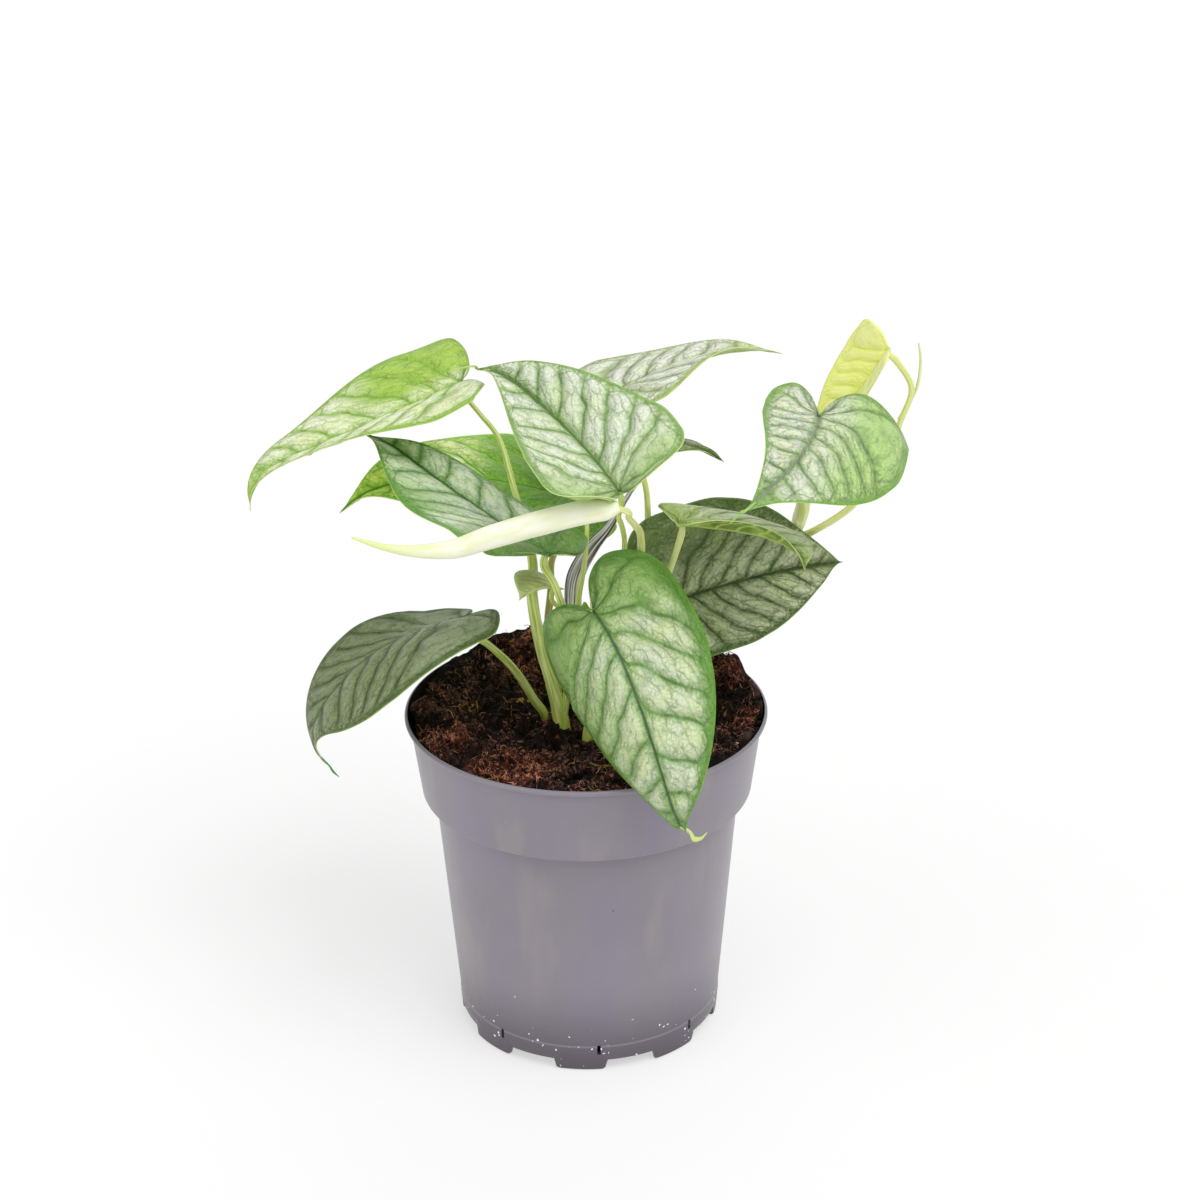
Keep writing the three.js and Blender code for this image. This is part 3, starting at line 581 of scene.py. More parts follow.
def clod_relief(x, y):
    """Clods as noise of 10, 5, 2.4 and 1.1 mm steps. The two large ones are folded at nought, which
    makes round lumps with sharp creases between them."""
    place = np.stack([x, y], -1)
    lumps = 3.2 * np.abs(lattice_noise(place, 10, 1)) + 2.6 * np.abs(lattice_noise(place + 3, 5, 2))
    grains = 1.1 * lattice_noise(place, 2.4, 3) + 0.8 * lattice_noise(place, 1.1, 4)
    return lumps - 1.6 + grains


def crumbly_height(x, y):
    """Soil height with its clods, kept calm at the pot's wall."""
    calm = smooth_step(SOIL["edge"] + 1, SOIL["edge"] - 5, np.hypot(x, y))
    return soil_height(x, y) + clod_relief(x, y) * (0.35 + 0.65 * calm)


print("soil at the middle:", round(float(soil_height(0.0, 0.0)), 1), "mm")

# %% Soil surface
# Patches of loose coir: x, y and reach
RUST = [(-24, -38, 18), (47, 26, 15), (-47, -16, 12), (-20, 48, 18), (-54, 12, 9), (30, -44, 12)]


def rustiness(x, y):
    """From 0 to 1: how much of the loose coir lies there, as bells round the patches."""
    bells = [np.exp(-((x - at_x) ** 2 + (y - at_y) ** 2) / reach ** 2) for at_x, at_y, reach in RUST]
    return np.clip(sum(bells), 0, 1)


def make_soil():
    """Polar rings of the crumbly height, and below them the pot's own cone down to its floor. Each
    point keeps its clod relief, which paints the creases dark as shade, and how rusty its patch is,
    for the colour."""
    around, rings = 400, 132
    angle = np.linspace(0, 2 * np.pi, around, endpoint=False)
    share = np.linspace(0, 1, rings)[:, None] ** 0.8
    x, y = share * SOIL["edge"] * np.cos(angle), share * SOIL["edge"] * np.sin(angle)
    level = crumbly_height(x, y)
    inside = wall_radius(level) - POT["wall"] - 0.2
    mouth = np.where(level > POT["height"] - POT["lip"], SOIL["edge"], inside)
    squeeze = np.minimum(1, mouth / np.maximum(share * SOIL["edge"], 1e-6))
    top = np.stack([x * squeeze, y * squeeze, level], -1)
    relief = clod_relief(x, y)
    sides = []
    step = POT["height"] - POT["band"]
    for z in (SOIL["shoulder"], step + 1.5, step - 0.8, SOIL["foot"]):
        radius = float(wall_radius(z)) - POT["wall"] - 0.3
        sides.append(np.stack([radius * np.cos(angle), radius * np.sin(angle), z + 0 * angle], -1))
    foot = np.stack([0 * angle, 0 * angle, SOIL["foot"] + 0 * angle], -1)
    points = np.concatenate([top, np.array(sides), foot[None]])
    below = np.zeros((5, around))
    grain = np.stack([np.vstack([relief, below]), np.vstack([rustiness(x, y), below])], -1)
    grain = np.dstack([grain, 0 * grain[..., 0]]).reshape(-1, 3)
    triangles = grid_triangles(len(points), around, around=True)
    return make_piece("peat_soil", points.reshape(-1, 3), triangles, {"grain": grain})


soil = make_soil()
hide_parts("soil")
print("soil:", len(soil.data.polygons), "triangles")

# %% [markdown]
# ### Crumbs, coir and perlite
#
# A crumb is an octahedron with its corners pushed in and out, and a grain of perlite is a rounder
# one, split once into 32 faces. A fibre is a three-sided thread on an arc, and lint is short thread
# that stands up from the peat and breaks its edge. Each kind is one mesh, because thousands of small
# objects would only slow the scene.


# %% Shapes and places of crumbs
def crumb_shape(round_it):
    """Corners and faces of an octahedron, each face split in four and put on the unit ball if it is
    to be round."""
    corners = np.array([[1, 0, 0], [-1, 0, 0], [0, 1, 0], [0, -1, 0], [0, 0, 1], [0, 0, -1]], float)
    faces = [(0, 2, 4), (2, 1, 4), (1, 3, 4), (3, 0, 4), (2, 0, 5), (1, 2, 5), (3, 1, 5), (0, 3, 5)]
    if not round_it:
        return corners, np.array(faces)
    points, split = corners.tolist(), []
    for a, b, c in faces:
        low = len(points)
        middles = [corners[p] + corners[q] for p, q in ((a, b), (b, c), (c, a))]
        points += [(m / np.linalg.norm(m)).tolist() for m in middles]
        split += [(a, low, low + 2), (low, b, low + 1), (low + 2, low + 1, c), (low, low + 1, low + 2)]
    points = np.array(points)
    _, first, number = np.unique(np.round(points, 5), axis=0, return_index=True, return_inverse=True)
    return points[first], number.reshape(-1)[np.array(split)]


def random_turns(count):
    """Rotation matrices from random unit quaternions."""
    w, x, y, z = np.moveaxis(rng.normal(size=(count, 4)), -1, 0)
    size = np.sqrt(w * w + x * x + y * y + z * z)
    w, x, y, z = w / size, x / size, y / size, z / size
    rows = [
        [1 - 2 * (y * y + z * z), 2 * (x * y - z * w), 2 * (x * z + y * w)],
        [2 * (x * y + z * w), 1 - 2 * (x * x + z * z), 2 * (y * z - x * w)],
        [2 * (x * z - y * w), 2 * (y * z + x * w), 1 - 2 * (x * x + y * y)],
    ]
    return np.moveaxis(np.array(rows), -1, 0)


def disc_places(count, reach, centre=(0, 0)):
    """Random places in a disc, even over its area, kept inside the pot's wall."""
    radius = reach * np.sqrt(rng.random(count))
    angle = 2 * np.pi * rng.random(count)
    x, y = centre[0] + radius * np.cos(angle), centre[1] + radius * np.sin(angle)
    inside = np.hypot(x, y) < SOIL["edge"] - 2.5
    return x[inside], y[inside]


print("corners of a crumb and of a grain:", len(crumb_shape(False)[0]), len(crumb_shape(True)[0]))


# %% Crumbs
def make_crumbs(name, places, smallest, largest, sink=0.3, rough=0.35, round_it=False):
    """One crumb at each place, of a random size, half sunk into the soil."""
    x, y = places
    shape, faces = crumb_shape(round_it)
    count = len(x)
    room = np.maximum(0.3, (SOIL["edge"] - np.hypot(x, y)) / 1.8)
    size = np.minimum(smallest + (largest - smallest) * rng.random(count) ** 2.5, room)
    stretch = 1 + rough * rng.normal(size=(count, 1, 3)) * 0.8
    dents = 1 + rough * rng.uniform(-1, 1, size=(count, len(shape), 1))
    local = shape * dents * np.clip(stretch, 0.45, 1.7) * size[:, None, None]
    turned = np.einsum("nij,nkj->nki", random_turns(count), local)
    centre = np.stack([x, y, crumbly_height(x, y) - sink * size], -1)
    points = turned + centre[:, None]
    triangles = faces[None] + (np.arange(count) * len(shape))[:, None, None]
    piece = make_piece(name, points.reshape(-1, 3), triangles.reshape(-1, 3), sharp=35)
    return piece


peat_crumbs = make_crumbs("peat_crumbs", disc_places(8500, 57), 0.25, 1.7, sink=0.1, rough=0.5)
tan_places = np.hstack([disc_places(150, 56), disc_places(90, 5, (-21, 14)), disc_places(40, 4, (-40, 10))])
tan_crumbs = make_crumbs("coir_pith_crumbs", tan_places, 0.3, 1.3)
perlite_places = np.hstack([disc_places(46, 56), disc_places(14, 7, (-13, 4))])
perlite = make_crumbs("perlite_grains", perlite_places, 0.25, 0.75, sink=-0.2, rough=0.2, round_it=True)
print("crumbs:", len(peat_crumbs.data.polygons), len(tan_crumbs.data.polygons), len(perlite.data.polygons))

# %% Fibres
def make_fibres(name, places, shortest, longest, thick, lift, stand=0.0, steps=9):
    """Threads that start at the places: p(u) runs along a random heading, bends aside with u squared,
    arches off the soil with sin(pi u) and may stand up by a share of its length. The section is a
    triangle that tapers to both ends."""
    x, y = places
    count = len(x)
    u = np.linspace(0, 1, steps)
    heading = 2 * np.pi * rng.random(count)[:, None]
    length = (shortest + (longest - shortest) * rng.random(count) ** 2)[:, None]
    aside = rng.normal(0, 0.35, count)[:, None]
    ripple = 0.5 * np.sin(2 * np.pi * (u * rng.uniform(0.5, 1.6, (count, 1)) + rng.random((count, 1))))
    along = length * (u - 0.5)
    across = length * aside * (u - 0.5) ** 2 + ripple
    px = x[:, None] + along * np.cos(heading) - across * np.sin(heading)
    py = y[:, None] + along * np.sin(heading) + across * np.cos(heading)
    reach = np.hypot(px, py)
    squeeze = np.minimum(1, (SOIL["edge"] - 1) / np.maximum(reach, 1e-6))
    px, py = px * squeeze, py * squeeze
    arch = lift * rng.random((count, 1)) * np.abs(np.sin(np.pi * u)) ** 0.7
    arch = arch + stand * length * u * rng.random((count, 1))
    pz = crumbly_height(px, py) + 0.15 + arch
    path = np.stack([px, py, pz], -1)
    tangent = np.gradient(path, axis=1)
    side = np.cross(tangent, [0, 0, 1.0])
    side = side / np.maximum(np.linalg.norm(side, axis=-1, keepdims=True), 1e-9)
    up = np.cross(side, tangent)
    up = up / np.maximum(np.linalg.norm(up, axis=-1, keepdims=True), 1e-9)
    taper = 0.25 + np.sin(np.pi * np.clip(u, 0.04, 0.96)) ** 0.5
    radius = thick * (0.6 + 0.6 * rng.random((count, 1))) * taper
    angle = 2 * np.pi * np.arange(3) / 3
    ring = side[:, :, None] * np.cos(angle)[:, None] + up[:, :, None] * np.sin(angle)[:, None]
    points = path[:, :, None] + ring * radius[:, :, None, None]
    tube = grid_triangles(steps, 3, around=True)
    last = 3 * (steps - 1)
    tube = np.vstack([tube, [[0, 2, 1], [last, last + 1, last + 2]]])
    triangles = tube[None] + (np.arange(count) * 3 * steps)[:, None, None]
    piece = make_piece(name, points.reshape(-1, 3), triangles.reshape(-1, 3))
    return piece


def rusty_places(share):
    """Places all over the soil, and many more in the patches of loose coir."""
    patches = [(170, 56, (0, 0)), (260, 14, (-24, -38)), (170, 11, (46, 25)), (110, 10, (-47, -18)),
               (190, 13, (-20, 46)), (50, 6, (54, -8))]
    return np.hstack([disc_places(int(share * count), reach, at) for count, reach, at in patches])


dark_fibres = make_fibres("peat_fibres", disc_places(420, 56), 2, 10, 0.12, 1.0)
dark_lint = make_fibres("peat_lint", disc_places(2600, 57), 0.8, 4.5, 0.1, 0.4, stand=0.7, steps=4)
rust_fibres = make_fibres("coir_fibres", rusty_places(0.55), 2.5, 12, 0.13, 1.4)
rust_lint = make_fibres("coir_lint", rusty_places(2.0), 0.8, 5, 0.1, 0.5, stand=0.8, steps=4)
straw_places = np.hstack([disc_places(36, 55), disc_places(14, 9, (4, -34))])
straw_fibres = make_fibres("straw_fibres", straw_places, 4, 14, 0.14, 2.5)
threads = (dark_fibres, dark_lint, rust_fibres, rust_lint, straw_fibres)
print("fibres:", [len(piece.data.polygons) for piece in threads])

# %% [markdown]
# ## Finish of the soil
#
# Damp peat is very dark red-brown and matt, with wet glints. Coir is rust red, straw is tan, and
# perlite is expanded volcanic glass, white and rough. Each colour wanders by a noise of a few
# millimetres, because a single brown would look like plastic.

# %% Soil finishes
DAMP_STEP = 12


def crumbly_finish(name, dark, light, step, roughness, wet=0.9):
    """Two colours blended by noise of a step in mm, with wide damp places that are only dark, and a
    fine bump."""
    material, tree, shader = new_finish(name, {"Roughness": roughness, "Specular IOR Level": 0.2})
    place = add(tree, "TexCoord")["Object"]
    patches = add(tree, "TexNoise", {}, {"Vector": place, "Scale": 1 / (step * MM), "Detail": 5.0})[0]
    damp = add(tree, "TexNoise", {}, {"Vector": place, "Scale": 1 / (DAMP_STEP * MM), "Detail": 2.0})[0]
    layers = [(patches, 0.44, 0.66, 0.0, 1.0, light), (damp, 0.42, 0.56, 0.0, wet, dark)]
    grit = add(tree, "TexNoise", {}, {"Vector": place, "Scale": 1 / (0.6 * MM), "Detail": 4.0})[0]
    dress(tree, shader, painted(tree, linear(dark), layers), grit, 0.7, 0.3)
    return material


def peat_finish():
    """Damp peat: black in the creases, where it is painted shade as well as damp, brown on the clods,
    and rusty where coir lies on it.
    """
    material, tree, shader = new_finish("damp_peat", {"Roughness": 0.85, "Specular IOR Level": 0.2})
    grain = add(tree, "Attribute", {"attribute_name": "grain"})["Vector"]
    relief, rusty, _ = add(tree, "SeparateXYZ", {}, [grain])
    place = add(tree, "TexCoord")["Object"]
    patches = add(tree, "TexNoise", {}, {"Vector": place, "Scale": 1 / (4 * MM), "Detail": 6.0})[0]
    damp = add(tree, "TexNoise", {}, {"Vector": place, "Scale": 1 / (DAMP_STEP * MM), "Detail": 2.0})[0]
    lumps = add(tree, "Math", TIMES_PLUS, (patches, 3.0, relief))[0]
    # Painted shade as well as damp: the creases between the clods stay near black, and only high clods turn
    # brown
    high = mask(tree, (lumps, 0.9, 3.6), (damp, 0.42, 0.56, 1.0, 0.15))
    fuzz = add(tree, "TexNoise", {}, {"Vector": place, "Scale": 1 / (1.4 * MM), "Detail": 4.0})[0]
    fuzz = add(tree, "MapRange", SMOOTH, (fuzz, 0.45, 0.62))[0]
    rust = add(tree, "Math", TIMES, (rusty, high))[0]
    rust = add(tree, "Math", TIMES, (fuzz, rust))[0]
    colour = add(tree, "Mix", BLEND, {0: high, A: linear("#0e0807"), B: linear("#48312d")})[MIXED]
    colour = add(tree, "Mix", BLEND, {0: rust, A: colour, B: linear("#9c5238")})[MIXED]
    grit = add(tree, "TexNoise", {}, {"Vector": place, "Scale": 1 / (0.7 * MM), "Detail": 5.0})[0]
    dress(tree, shader, colour, grit, 0.9, 0.5)
    return material


peat_fibre = crumbly_finish("peat_fibre", "#1c1110", "#c48c74", 2.0, 0.7)
rust_coir = crumbly_finish("rust_coir", "#6c3022", "#ffb08a", 2.0, 0.65, wet=0.4)
SOIL_FINISHES = [
    (soil, peat_finish()),
    (peat_crumbs, crumbly_finish("peat_crumb", "#130b0a", "#98685a", 1.2, 0.8)),
    (dark_fibres, peat_fibre), (dark_lint, peat_fibre), (rust_fibres, rust_coir), (rust_lint, rust_coir),
    (straw_fibres, crumbly_finish("tan_straw", "#a87c44", "#e8c486", 9, 0.55, wet=0.2)),
    (tan_crumbs, crumbly_finish("coir_pith", "#6b431f", "#d4a75f", 3, 0.7, wet=0.2)),
    (perlite, crumbly_finish("white_perlite", "#cfcac2", "#f4f2ee", 2, 0.7, wet=0.2)),
]
for piece, finish in SOIL_FINISHES:
    piece.data.materials.append(finish)
print("soil materials:", sorted({finish.name for _, finish in SOIL_FINISHES}))

# %% [markdown]
# ## Leaf shape
#
# Each blade is one bent sheet. A half outline from the notch at the base to the drip tip gives the
# margin, and rays curve from the midrib to the margin in the way that side veins run. The midrib
# then droops, sways and twists on its way to the tip, each half folds up from it, and the margin
# waves. The same formula made the plain solids, so the fine blade lies where the solid lies.
#
# In the table lengths are in mm and angles in degrees. Lopsided and belly are hundredths: how much
# wider the right half is and narrower the left, and how far the fullest part is moved towards the
# tip. Pairs are for the right and the left half. Veins is how many side veins leave the midrib on
# each side, and quilt how much the fields between them swell.

# %% Leaf outline
HALF_OUTLINE = np.array([
    (0, 0), (-0.7, 0.17), (-1, 0.5), (-0.62, 0.86), (0.08, 1), (0.3, 0.93),
    (0.52, 0.7), (0.72, 0.39), (0.86, 0.15), (0.95, 0.035), (1, 0),
])
RAY_BOW = 20
MARGIN_WAVES = 3.2
MIDRIB_STEPS = 60
print("half outline:", len(HALF_OUTLINE), "points")

# %% Values of each leaf
LEAVES = {
    "blade_top_left": {
        "base": (-40, 44, 212), "azimuth": 193, "pitch": -21, "roll": 11,
        "length": 86, "half_width": 30, "lobe": 6, "lopsided": 7, "belly": -11,
        "droop": -4, "curl": 78, "sway": -2, "twist": 0, "hook": 0,
        "fold": (34, 8), "cup": (24, 24), "lift": -1.5, "wave": 1.2, "phase": 0.3,
        "veins": 7, "quilt": 0.5,
    },
    "blade_top_centre": {
        "base": (11, -49, 210), "azimuth": 107, "pitch": 6, "roll": -8,
        "length": 96, "half_width": 26, "lobe": 14, "lopsided": 2, "belly": -6,
        "droop": -12, "curl": 35, "sway": -23, "twist": -3, "hook": 0,
        "fold": (54, 17), "cup": (42, -11), "lift": 4.7, "wave": 1, "phase": 0.8,
        "veins": 7.5, "quilt": 0.6,
    },
    "blade_mid_left": {
        "base": (-11, -13, 174), "azimuth": 141, "pitch": 15, "roll": 6,
        "length": 89, "half_width": 30, "lobe": 3, "lopsided": -34, "belly": -20,
        "droop": -2, "curl": 24, "sway": 9, "twist": -32, "hook": 0,
        "fold": (9, 28), "cup": (33, 15), "lift": -1.4, "wave": 2, "phase": -0.3,
        "veins": 7, "quilt": 0.5,
    },
    "blade_behind_left": {
        "base": (-4, 56, 165), "azimuth": 183, "pitch": 23, "roll": -4,
        "length": 84, "half_width": 30, "lobe": 15, "lopsided": 3, "belly": 10,
        "droop": 39, "curl": 37, "sway": -11, "twist": -8, "hook": 0,
        "fold": (19, 11), "cup": (31, 23), "lift": 0, "wave": 1.4, "phase": -0.3,
        "veins": 7, "quilt": 0.5,
    },
    "blade_upper_right": {
        "base": (6, 35, 208), "azimuth": 27, "pitch": 24, "roll": -18,
        "length": 66, "half_width": 28, "lobe": 15, "lopsided": 3, "belly": -9,
        "droop": 32, "curl": 16, "sway": 8, "twist": -5, "hook": 0,
        "fold": (12, 20), "cup": (37, 11), "lift": 0, "wave": 1.1, "phase": -0.1,
        "veins": 7, "quilt": 0.5,
    },
    "blade_behind_right": {
        "base": (2, 52, 191), "azimuth": -38, "pitch": 10, "roll": -9,
        "length": 58, "half_width": 18, "lobe": 8, "lopsided": -3, "belly": 8,
        "droop": 9, "curl": 22, "sway": 3, "twist": 3, "hook": 0,
        "fold": (1, 2), "cup": (32, 39), "lift": 0, "wave": 1, "phase": -0.6,
        "veins": 6, "quilt": 0.3,
    },
    "blade_right_heart": {
        "base": (74, -8, 218), "azimuth": 263, "pitch": 0, "roll": -4,
        "length": 71, "half_width": 24, "lobe": 15, "lopsided": -27, "belly": 2,
        "droop": 8, "curl": 14, "sway": 30, "twist": -38, "hook": 25,
        "fold": (18, 15), "cup": (19, 50), "lift": 3, "wave": 0.6, "phase": -0.1,
        "veins": 7.5, "quilt": 0.7,
    },
    "blade_unfurling": {
        "base": (99, 28, 227), "azimuth": 178, "pitch": -59, "roll": -4,
        "length": 44, "half_width": 19, "lobe": 3, "lopsided": 1, "belly": -5,
        "droop": -12, "curl": 8, "sway": 6, "twist": -14, "hook": 0,
        "fold": (37, 19), "cup": (30, 14), "lift": 0, "wave": 0.3, "phase": -0.1,
        "veins": 7, "quilt": 0.12,
    },
    "blade_dark_right": {
        "base": (29, 3, 150), "azimuth": 18, "pitch": 12, "roll": 60,
        "length": 67, "half_width": 26, "lobe": 13, "lopsided": -14, "belly": 14,
        "droop": 28, "curl": 9, "sway": 11, "twist": -4, "hook": 0,
        "fold": (26, 22), "cup": (16, 12), "lift": 2, "wave": 1.1, "phase": -0.4,
        "veins": 7.5, "quilt": 0.6,
    },
    "blade_arching": {
        "base": (30, -20, 187), "azimuth": 18, "pitch": -7, "roll": -83,
        "length": 53, "half_width": 18, "lobe": 3, "lopsided": -3, "belly": 9,
        "droop": 97, "curl": 22, "sway": 17, "twist": -22, "hook": 0,
        "fold": (-45, 112), "cup": (34, 62), "lift": -2.9, "wave": 0.7, "phase": -0.2,
        "veins": 7, "quilt": 0.4,
    },
    "blade_front": {
        "base": (3, -37, 165), "azimuth": -66, "pitch": -10, "roll": 22,
        "length": 89, "half_width": 31, "lobe": 17, "lopsided": 13, "belly": 14,
        "droop": 97, "curl": 29, "sway": 33, "twist": -6, "hook": 59,
        "fold": (-24, 17), "cup": (63, 35), "lift": 2.5, "wave": 1.4, "phase": 0.2,
        "veins": 7, "quilt": 0.8,
    },
    "blade_low_left": {
        "base": (-44, -6, 148), "azimuth": 201, "pitch": -2, "roll": 16,
        "length": 73, "half_width": 31, "lobe": 12, "lopsided": -5, "belly": 30,
        "droop": 70, "curl": 73, "sway": 24, "twist": -33, "hook": 9,
        "fold": (-14, 13), "cup": (-27, 35), "lift": 1.9, "wave": -0.4, "phase": -0.6,
        "veins": 7.5, "quilt": 0.7,
    },
    "blade_small": {
        "base": (-9, -12, 162), "azimuth": 225, "pitch": 29, "roll": 5,
        "length": 19, "half_width": 8, "lobe": 2, "lopsided": 60, "belly": 6,
        "droop": 41, "curl": 18, "sway": -9, "twist": 14, "hook": 0,
        "fold": (26, 10), "cup": (13, 26), "lift": 0.2, "wave": 0.1, "phase": 0,
        "veins": 4, "quilt": 0.15,
    },
}
print("leaves:", len(LEAVES))


# %% Leaf formula
def spline(points, share):
    """Uniform Catmull-Rom curve through the points, with the end points repeated: the cubic whose
    slope at each point is half the step between its neighbours."""
    at = np.clip(share, 0, 1) * (len(points) - 1)
    low = np.minimum(at.astype(int), len(points) - 2)
    w = (at - low)[..., None]
    p0, p1 = points[np.maximum(low - 1, 0)], points[low]
    p2, p3 = points[low + 1], points[np.minimum(low + 2, len(points) - 1)]
    a, b = 0.5 * (p2 - p0), 0.5 * (p3 - p1)
    return (2 * p1 - 2 * p2 + a + b) * w ** 3 + (-3 * p1 + 3 * p2 - 2 * a - b) * w ** 2 + a * w + p1


def turned(a, b, angle):
    """Direction a turned towards direction b: a cos + b sin."""
    return a * np.cos(angle)[..., None] + b * np.sin(angle)[..., None]


def flat_place(leaf, side, t, s):
    """Flat x along the midrib and y away from it: a quadratic curve from the midrib to the margin
    point at t, bowed towards the base, at share s."""
    edge = spline(HALF_OUTLINE, t)
    ahead = np.maximum(edge[..., 0], 0)
    bellied = ahead + leaf["belly"] / 100 * 4 * ahead * (1 - ahead) ** 2
    edge_x = np.where(edge[..., 0] < 0, edge[..., 0] * leaf["lobe"], bellied * leaf["length"])
    edge_y = edge[..., 1] * leaf["half_width"] * (1 + side * leaf["lopsided"] / 100)
    root = leaf["length"] * (0.04 * t + 0.96 * np.maximum(0, (t - 0.35) / 0.65) ** 1.35)
    bow = np.radians(RAY_BOW) * np.sin(np.pi * t)
    dx, dy = edge_x - root, edge_y
    bend_x = root + 0.5 * (dx * np.cos(bow) - dy * np.sin(bow))
    bend_y = 0.5 * (dx * np.sin(bow) + dy * np.cos(bow))
    x = (1 - s) ** 2 * root + 2 * s * (1 - s) * bend_x + s ** 2 * edge_x
    y = 2 * s * (1 - s) * bend_y + s ** 2 * edge_y
    return x, y


widest = {name: 2 * leaf["half_width"] for name, leaf in LEAVES.items()}
print("widths in mm:", widest)


# %% Leaf in space
def midrib_frame(leaf, share):
    """Directions along, out of and across the midrib at a share of its length."""
    azimuth, pitch, roll = np.radians([leaf["azimuth"], leaf["pitch"], leaf["roll"]])
    level = np.array([np.cos(azimuth), np.sin(azimuth), 0])
    rise = np.array([0, 0, 1.0])
    along = level * np.cos(pitch) + rise * np.sin(pitch)
    up = rise * np.cos(pitch) - level * np.sin(pitch)
    across = np.cross(along, up)
    up, across = up * np.cos(roll) + across * np.sin(roll), across * np.cos(roll) - up * np.sin(roll)
    share = np.clip(share, 0, 1)
    late = np.clip((share - 0.7) / 0.3, 0, 1) ** 1.5
    last = np.clip((share - 0.93) / 0.07, 0, 1) ** 1.5
    droop = np.radians(leaf["droop"] * share + leaf["curl"] * late)
    sway = np.radians(leaf["sway"] * share + leaf["hook"] * last)
    twist = np.radians(leaf["twist"] * share)
    swayed, across = turned(along, across, sway), turned(across, along, -sway)
    along, up = turned(swayed, up, -droop), turned(up, swayed, droop)
    return along, turned(up, across, twist), turned(across, up, -twist)


def midrib_place(leaf, x):
    """Place on the midrib x mm from its base, added up from small steps along it, and straight back
    behind the base."""
    share = np.linspace(0, 1, MIDRIB_STEPS + 1)
    along = midrib_frame(leaf, share)[0]
    steps = (along[1:] + along[:-1]) / 2 * leaf["length"] / MIDRIB_STEPS
    places = np.vstack([[0, 0, 0], np.cumsum(steps, 0)]) + leaf["base"]
    at = np.clip(x / leaf["length"], 0, 1)
    ahead = np.stack([np.interp(at, share, places[:, k]) for k in range(3)], -1)
    return ahead + np.minimum(x, 0)[..., None] * along[0]


def leaf_place(leaf, side, t, s):
    """Place in space: out from the midrib by y cos(slope) across and y sin(slope) up, with the lobes'
    lift and the margin's wave added to the rise."""
    x, y = flat_place(leaf, side, t, s)
    along, up, across = midrib_frame(leaf, x / leaf["length"])
    half = 0 if side > 0 else 1
    slope = np.radians(leaf["fold"][half] - leaf["cup"][half] * y / (2 * leaf["half_width"]))
    behind = np.minimum(x, 0)
    turns = MARGIN_WAVES * t + leaf["phase"] + (0.25 if side > 0 else 0)
    wave = leaf["wave"] * s ** 2 * np.sin(2 * np.pi * turns) * np.sin(np.pi * t)
    rise = y * np.sin(slope) + leaf["lift"] * (behind / leaf["lobe"]) ** 2 + wave
    place = midrib_place(leaf, x) + across * (side * y * np.cos(slope))[..., None]
    return place + up * rise[..., None], x, side * y


tip_place = leaf_place(LEAVES["blade_front"], 1, np.ones(1), np.zeros(1))[0][0]
print("tip of the front leaf:", tip_place.round(1), "mm")

# %% [markdown]
# ## Veins
#
# Side veins leave the midrib at a slant and curve towards the tip, and three more spread from the
# foot of the blade into the lobe. One running number says where a point lies among them: it is
# whole on each side vein. Ahead of the foot the veins are one curve x = r + a y + b y y moved along
# the midrib, so the number grows with r. At the foot they are the same curve with a different slope
# a, so there the number grows with the slope. Both agree at r = 0.


# %% Vein field
VEIN = {"slope": 0.62, "back": -2.2, "bend": 0.011, "basal": 2.5, "widest_field": 16}


def vein_field(leaf, x, y):
    """Running number of the side veins, distance along the vein in mm, and mm between two veins,
    which is one over the gradient of the number."""
    y = np.maximum(np.abs(y), 0.05)
    bend = VEIN["bend"] * 30 / leaf["half_width"]
    ahead = x - VEIN["slope"] * y - bend * y ** 2
    per_mm = leaf["veins"] / leaf["length"]
    slope = np.maximum((x - bend * y ** 2) / y, VEIN["back"])
    per_slope = VEIN["basal"] / (VEIN["slope"] - VEIN["back"])
    number = np.where(ahead > 0, ahead * per_mm, (slope - VEIN["slope"]) * per_slope) + VEIN["basal"] + 0.5
    tilt = np.where(ahead > 0, VEIN["slope"] + 2 * bend * y, slope + 2 * bend * y)
    steep = np.where(ahead > 0, per_mm, per_slope / y)
    spacing = 1 / (steep * np.sqrt(1 + tilt ** 2))
    run = y * np.sqrt(1 + (np.where(ahead > 0, VEIN["slope"], slope) + bend * y) ** 2)
    return number, run, np.clip(spacing, 0, VEIN["widest_field"])


print("vein slopes from", VEIN["back"], "to", VEIN["slope"])

# %% [markdown]
# ## Relief of a blade
#
# Between its side veins the blade swells up like a quilt, the midrib lies in a channel on the upper
# face and stands out as a rib below. The relief is in the mesh, so that it shows from any side. The
# vein numbers are kept on the points, and the material turns them into crisp lines.

# %% Blade grid
COLUMNS = 29


def blade_grid(leaf):
    """Middle surface over both halves, t down the rows and s from -1 to 1 across, with its flat
    place and its vein values."""
    t = np.linspace(0, 1, 64 + int(1.1 * leaf["length"]))[:, None]
    s = np.linspace(0, 1, COLUMNS)[None, :] ** 0.9
    t, s = np.broadcast_arrays(t, s)
    halves = {}
    for side in (1, -1):
        place, x, y = leaf_place(leaf, side, t, s)
        flat = np.stack([x, y], -1)
        wander = 0.42 * lattice_noise(flat, 17, 11) + 0.12 * lattice_noise(flat, 5, 12)
        number, run, spacing = vein_field(leaf, x, y)
        rim = np.linalg.norm(flat - flat[:, -1:], axis=-1)
        halves[side] = (place, flat, number + wander + 0.4 * (side > 0), run, spacing, rim)
    joined = [np.concatenate([left[:, :0:-1], right], 1) for left, right in zip(halves[-1], halves[1])]
    return t[:, :1], joined


print("points in the front leaf's grid:", blade_grid(LEAVES["blade_front"])[1][0].shape[:2])

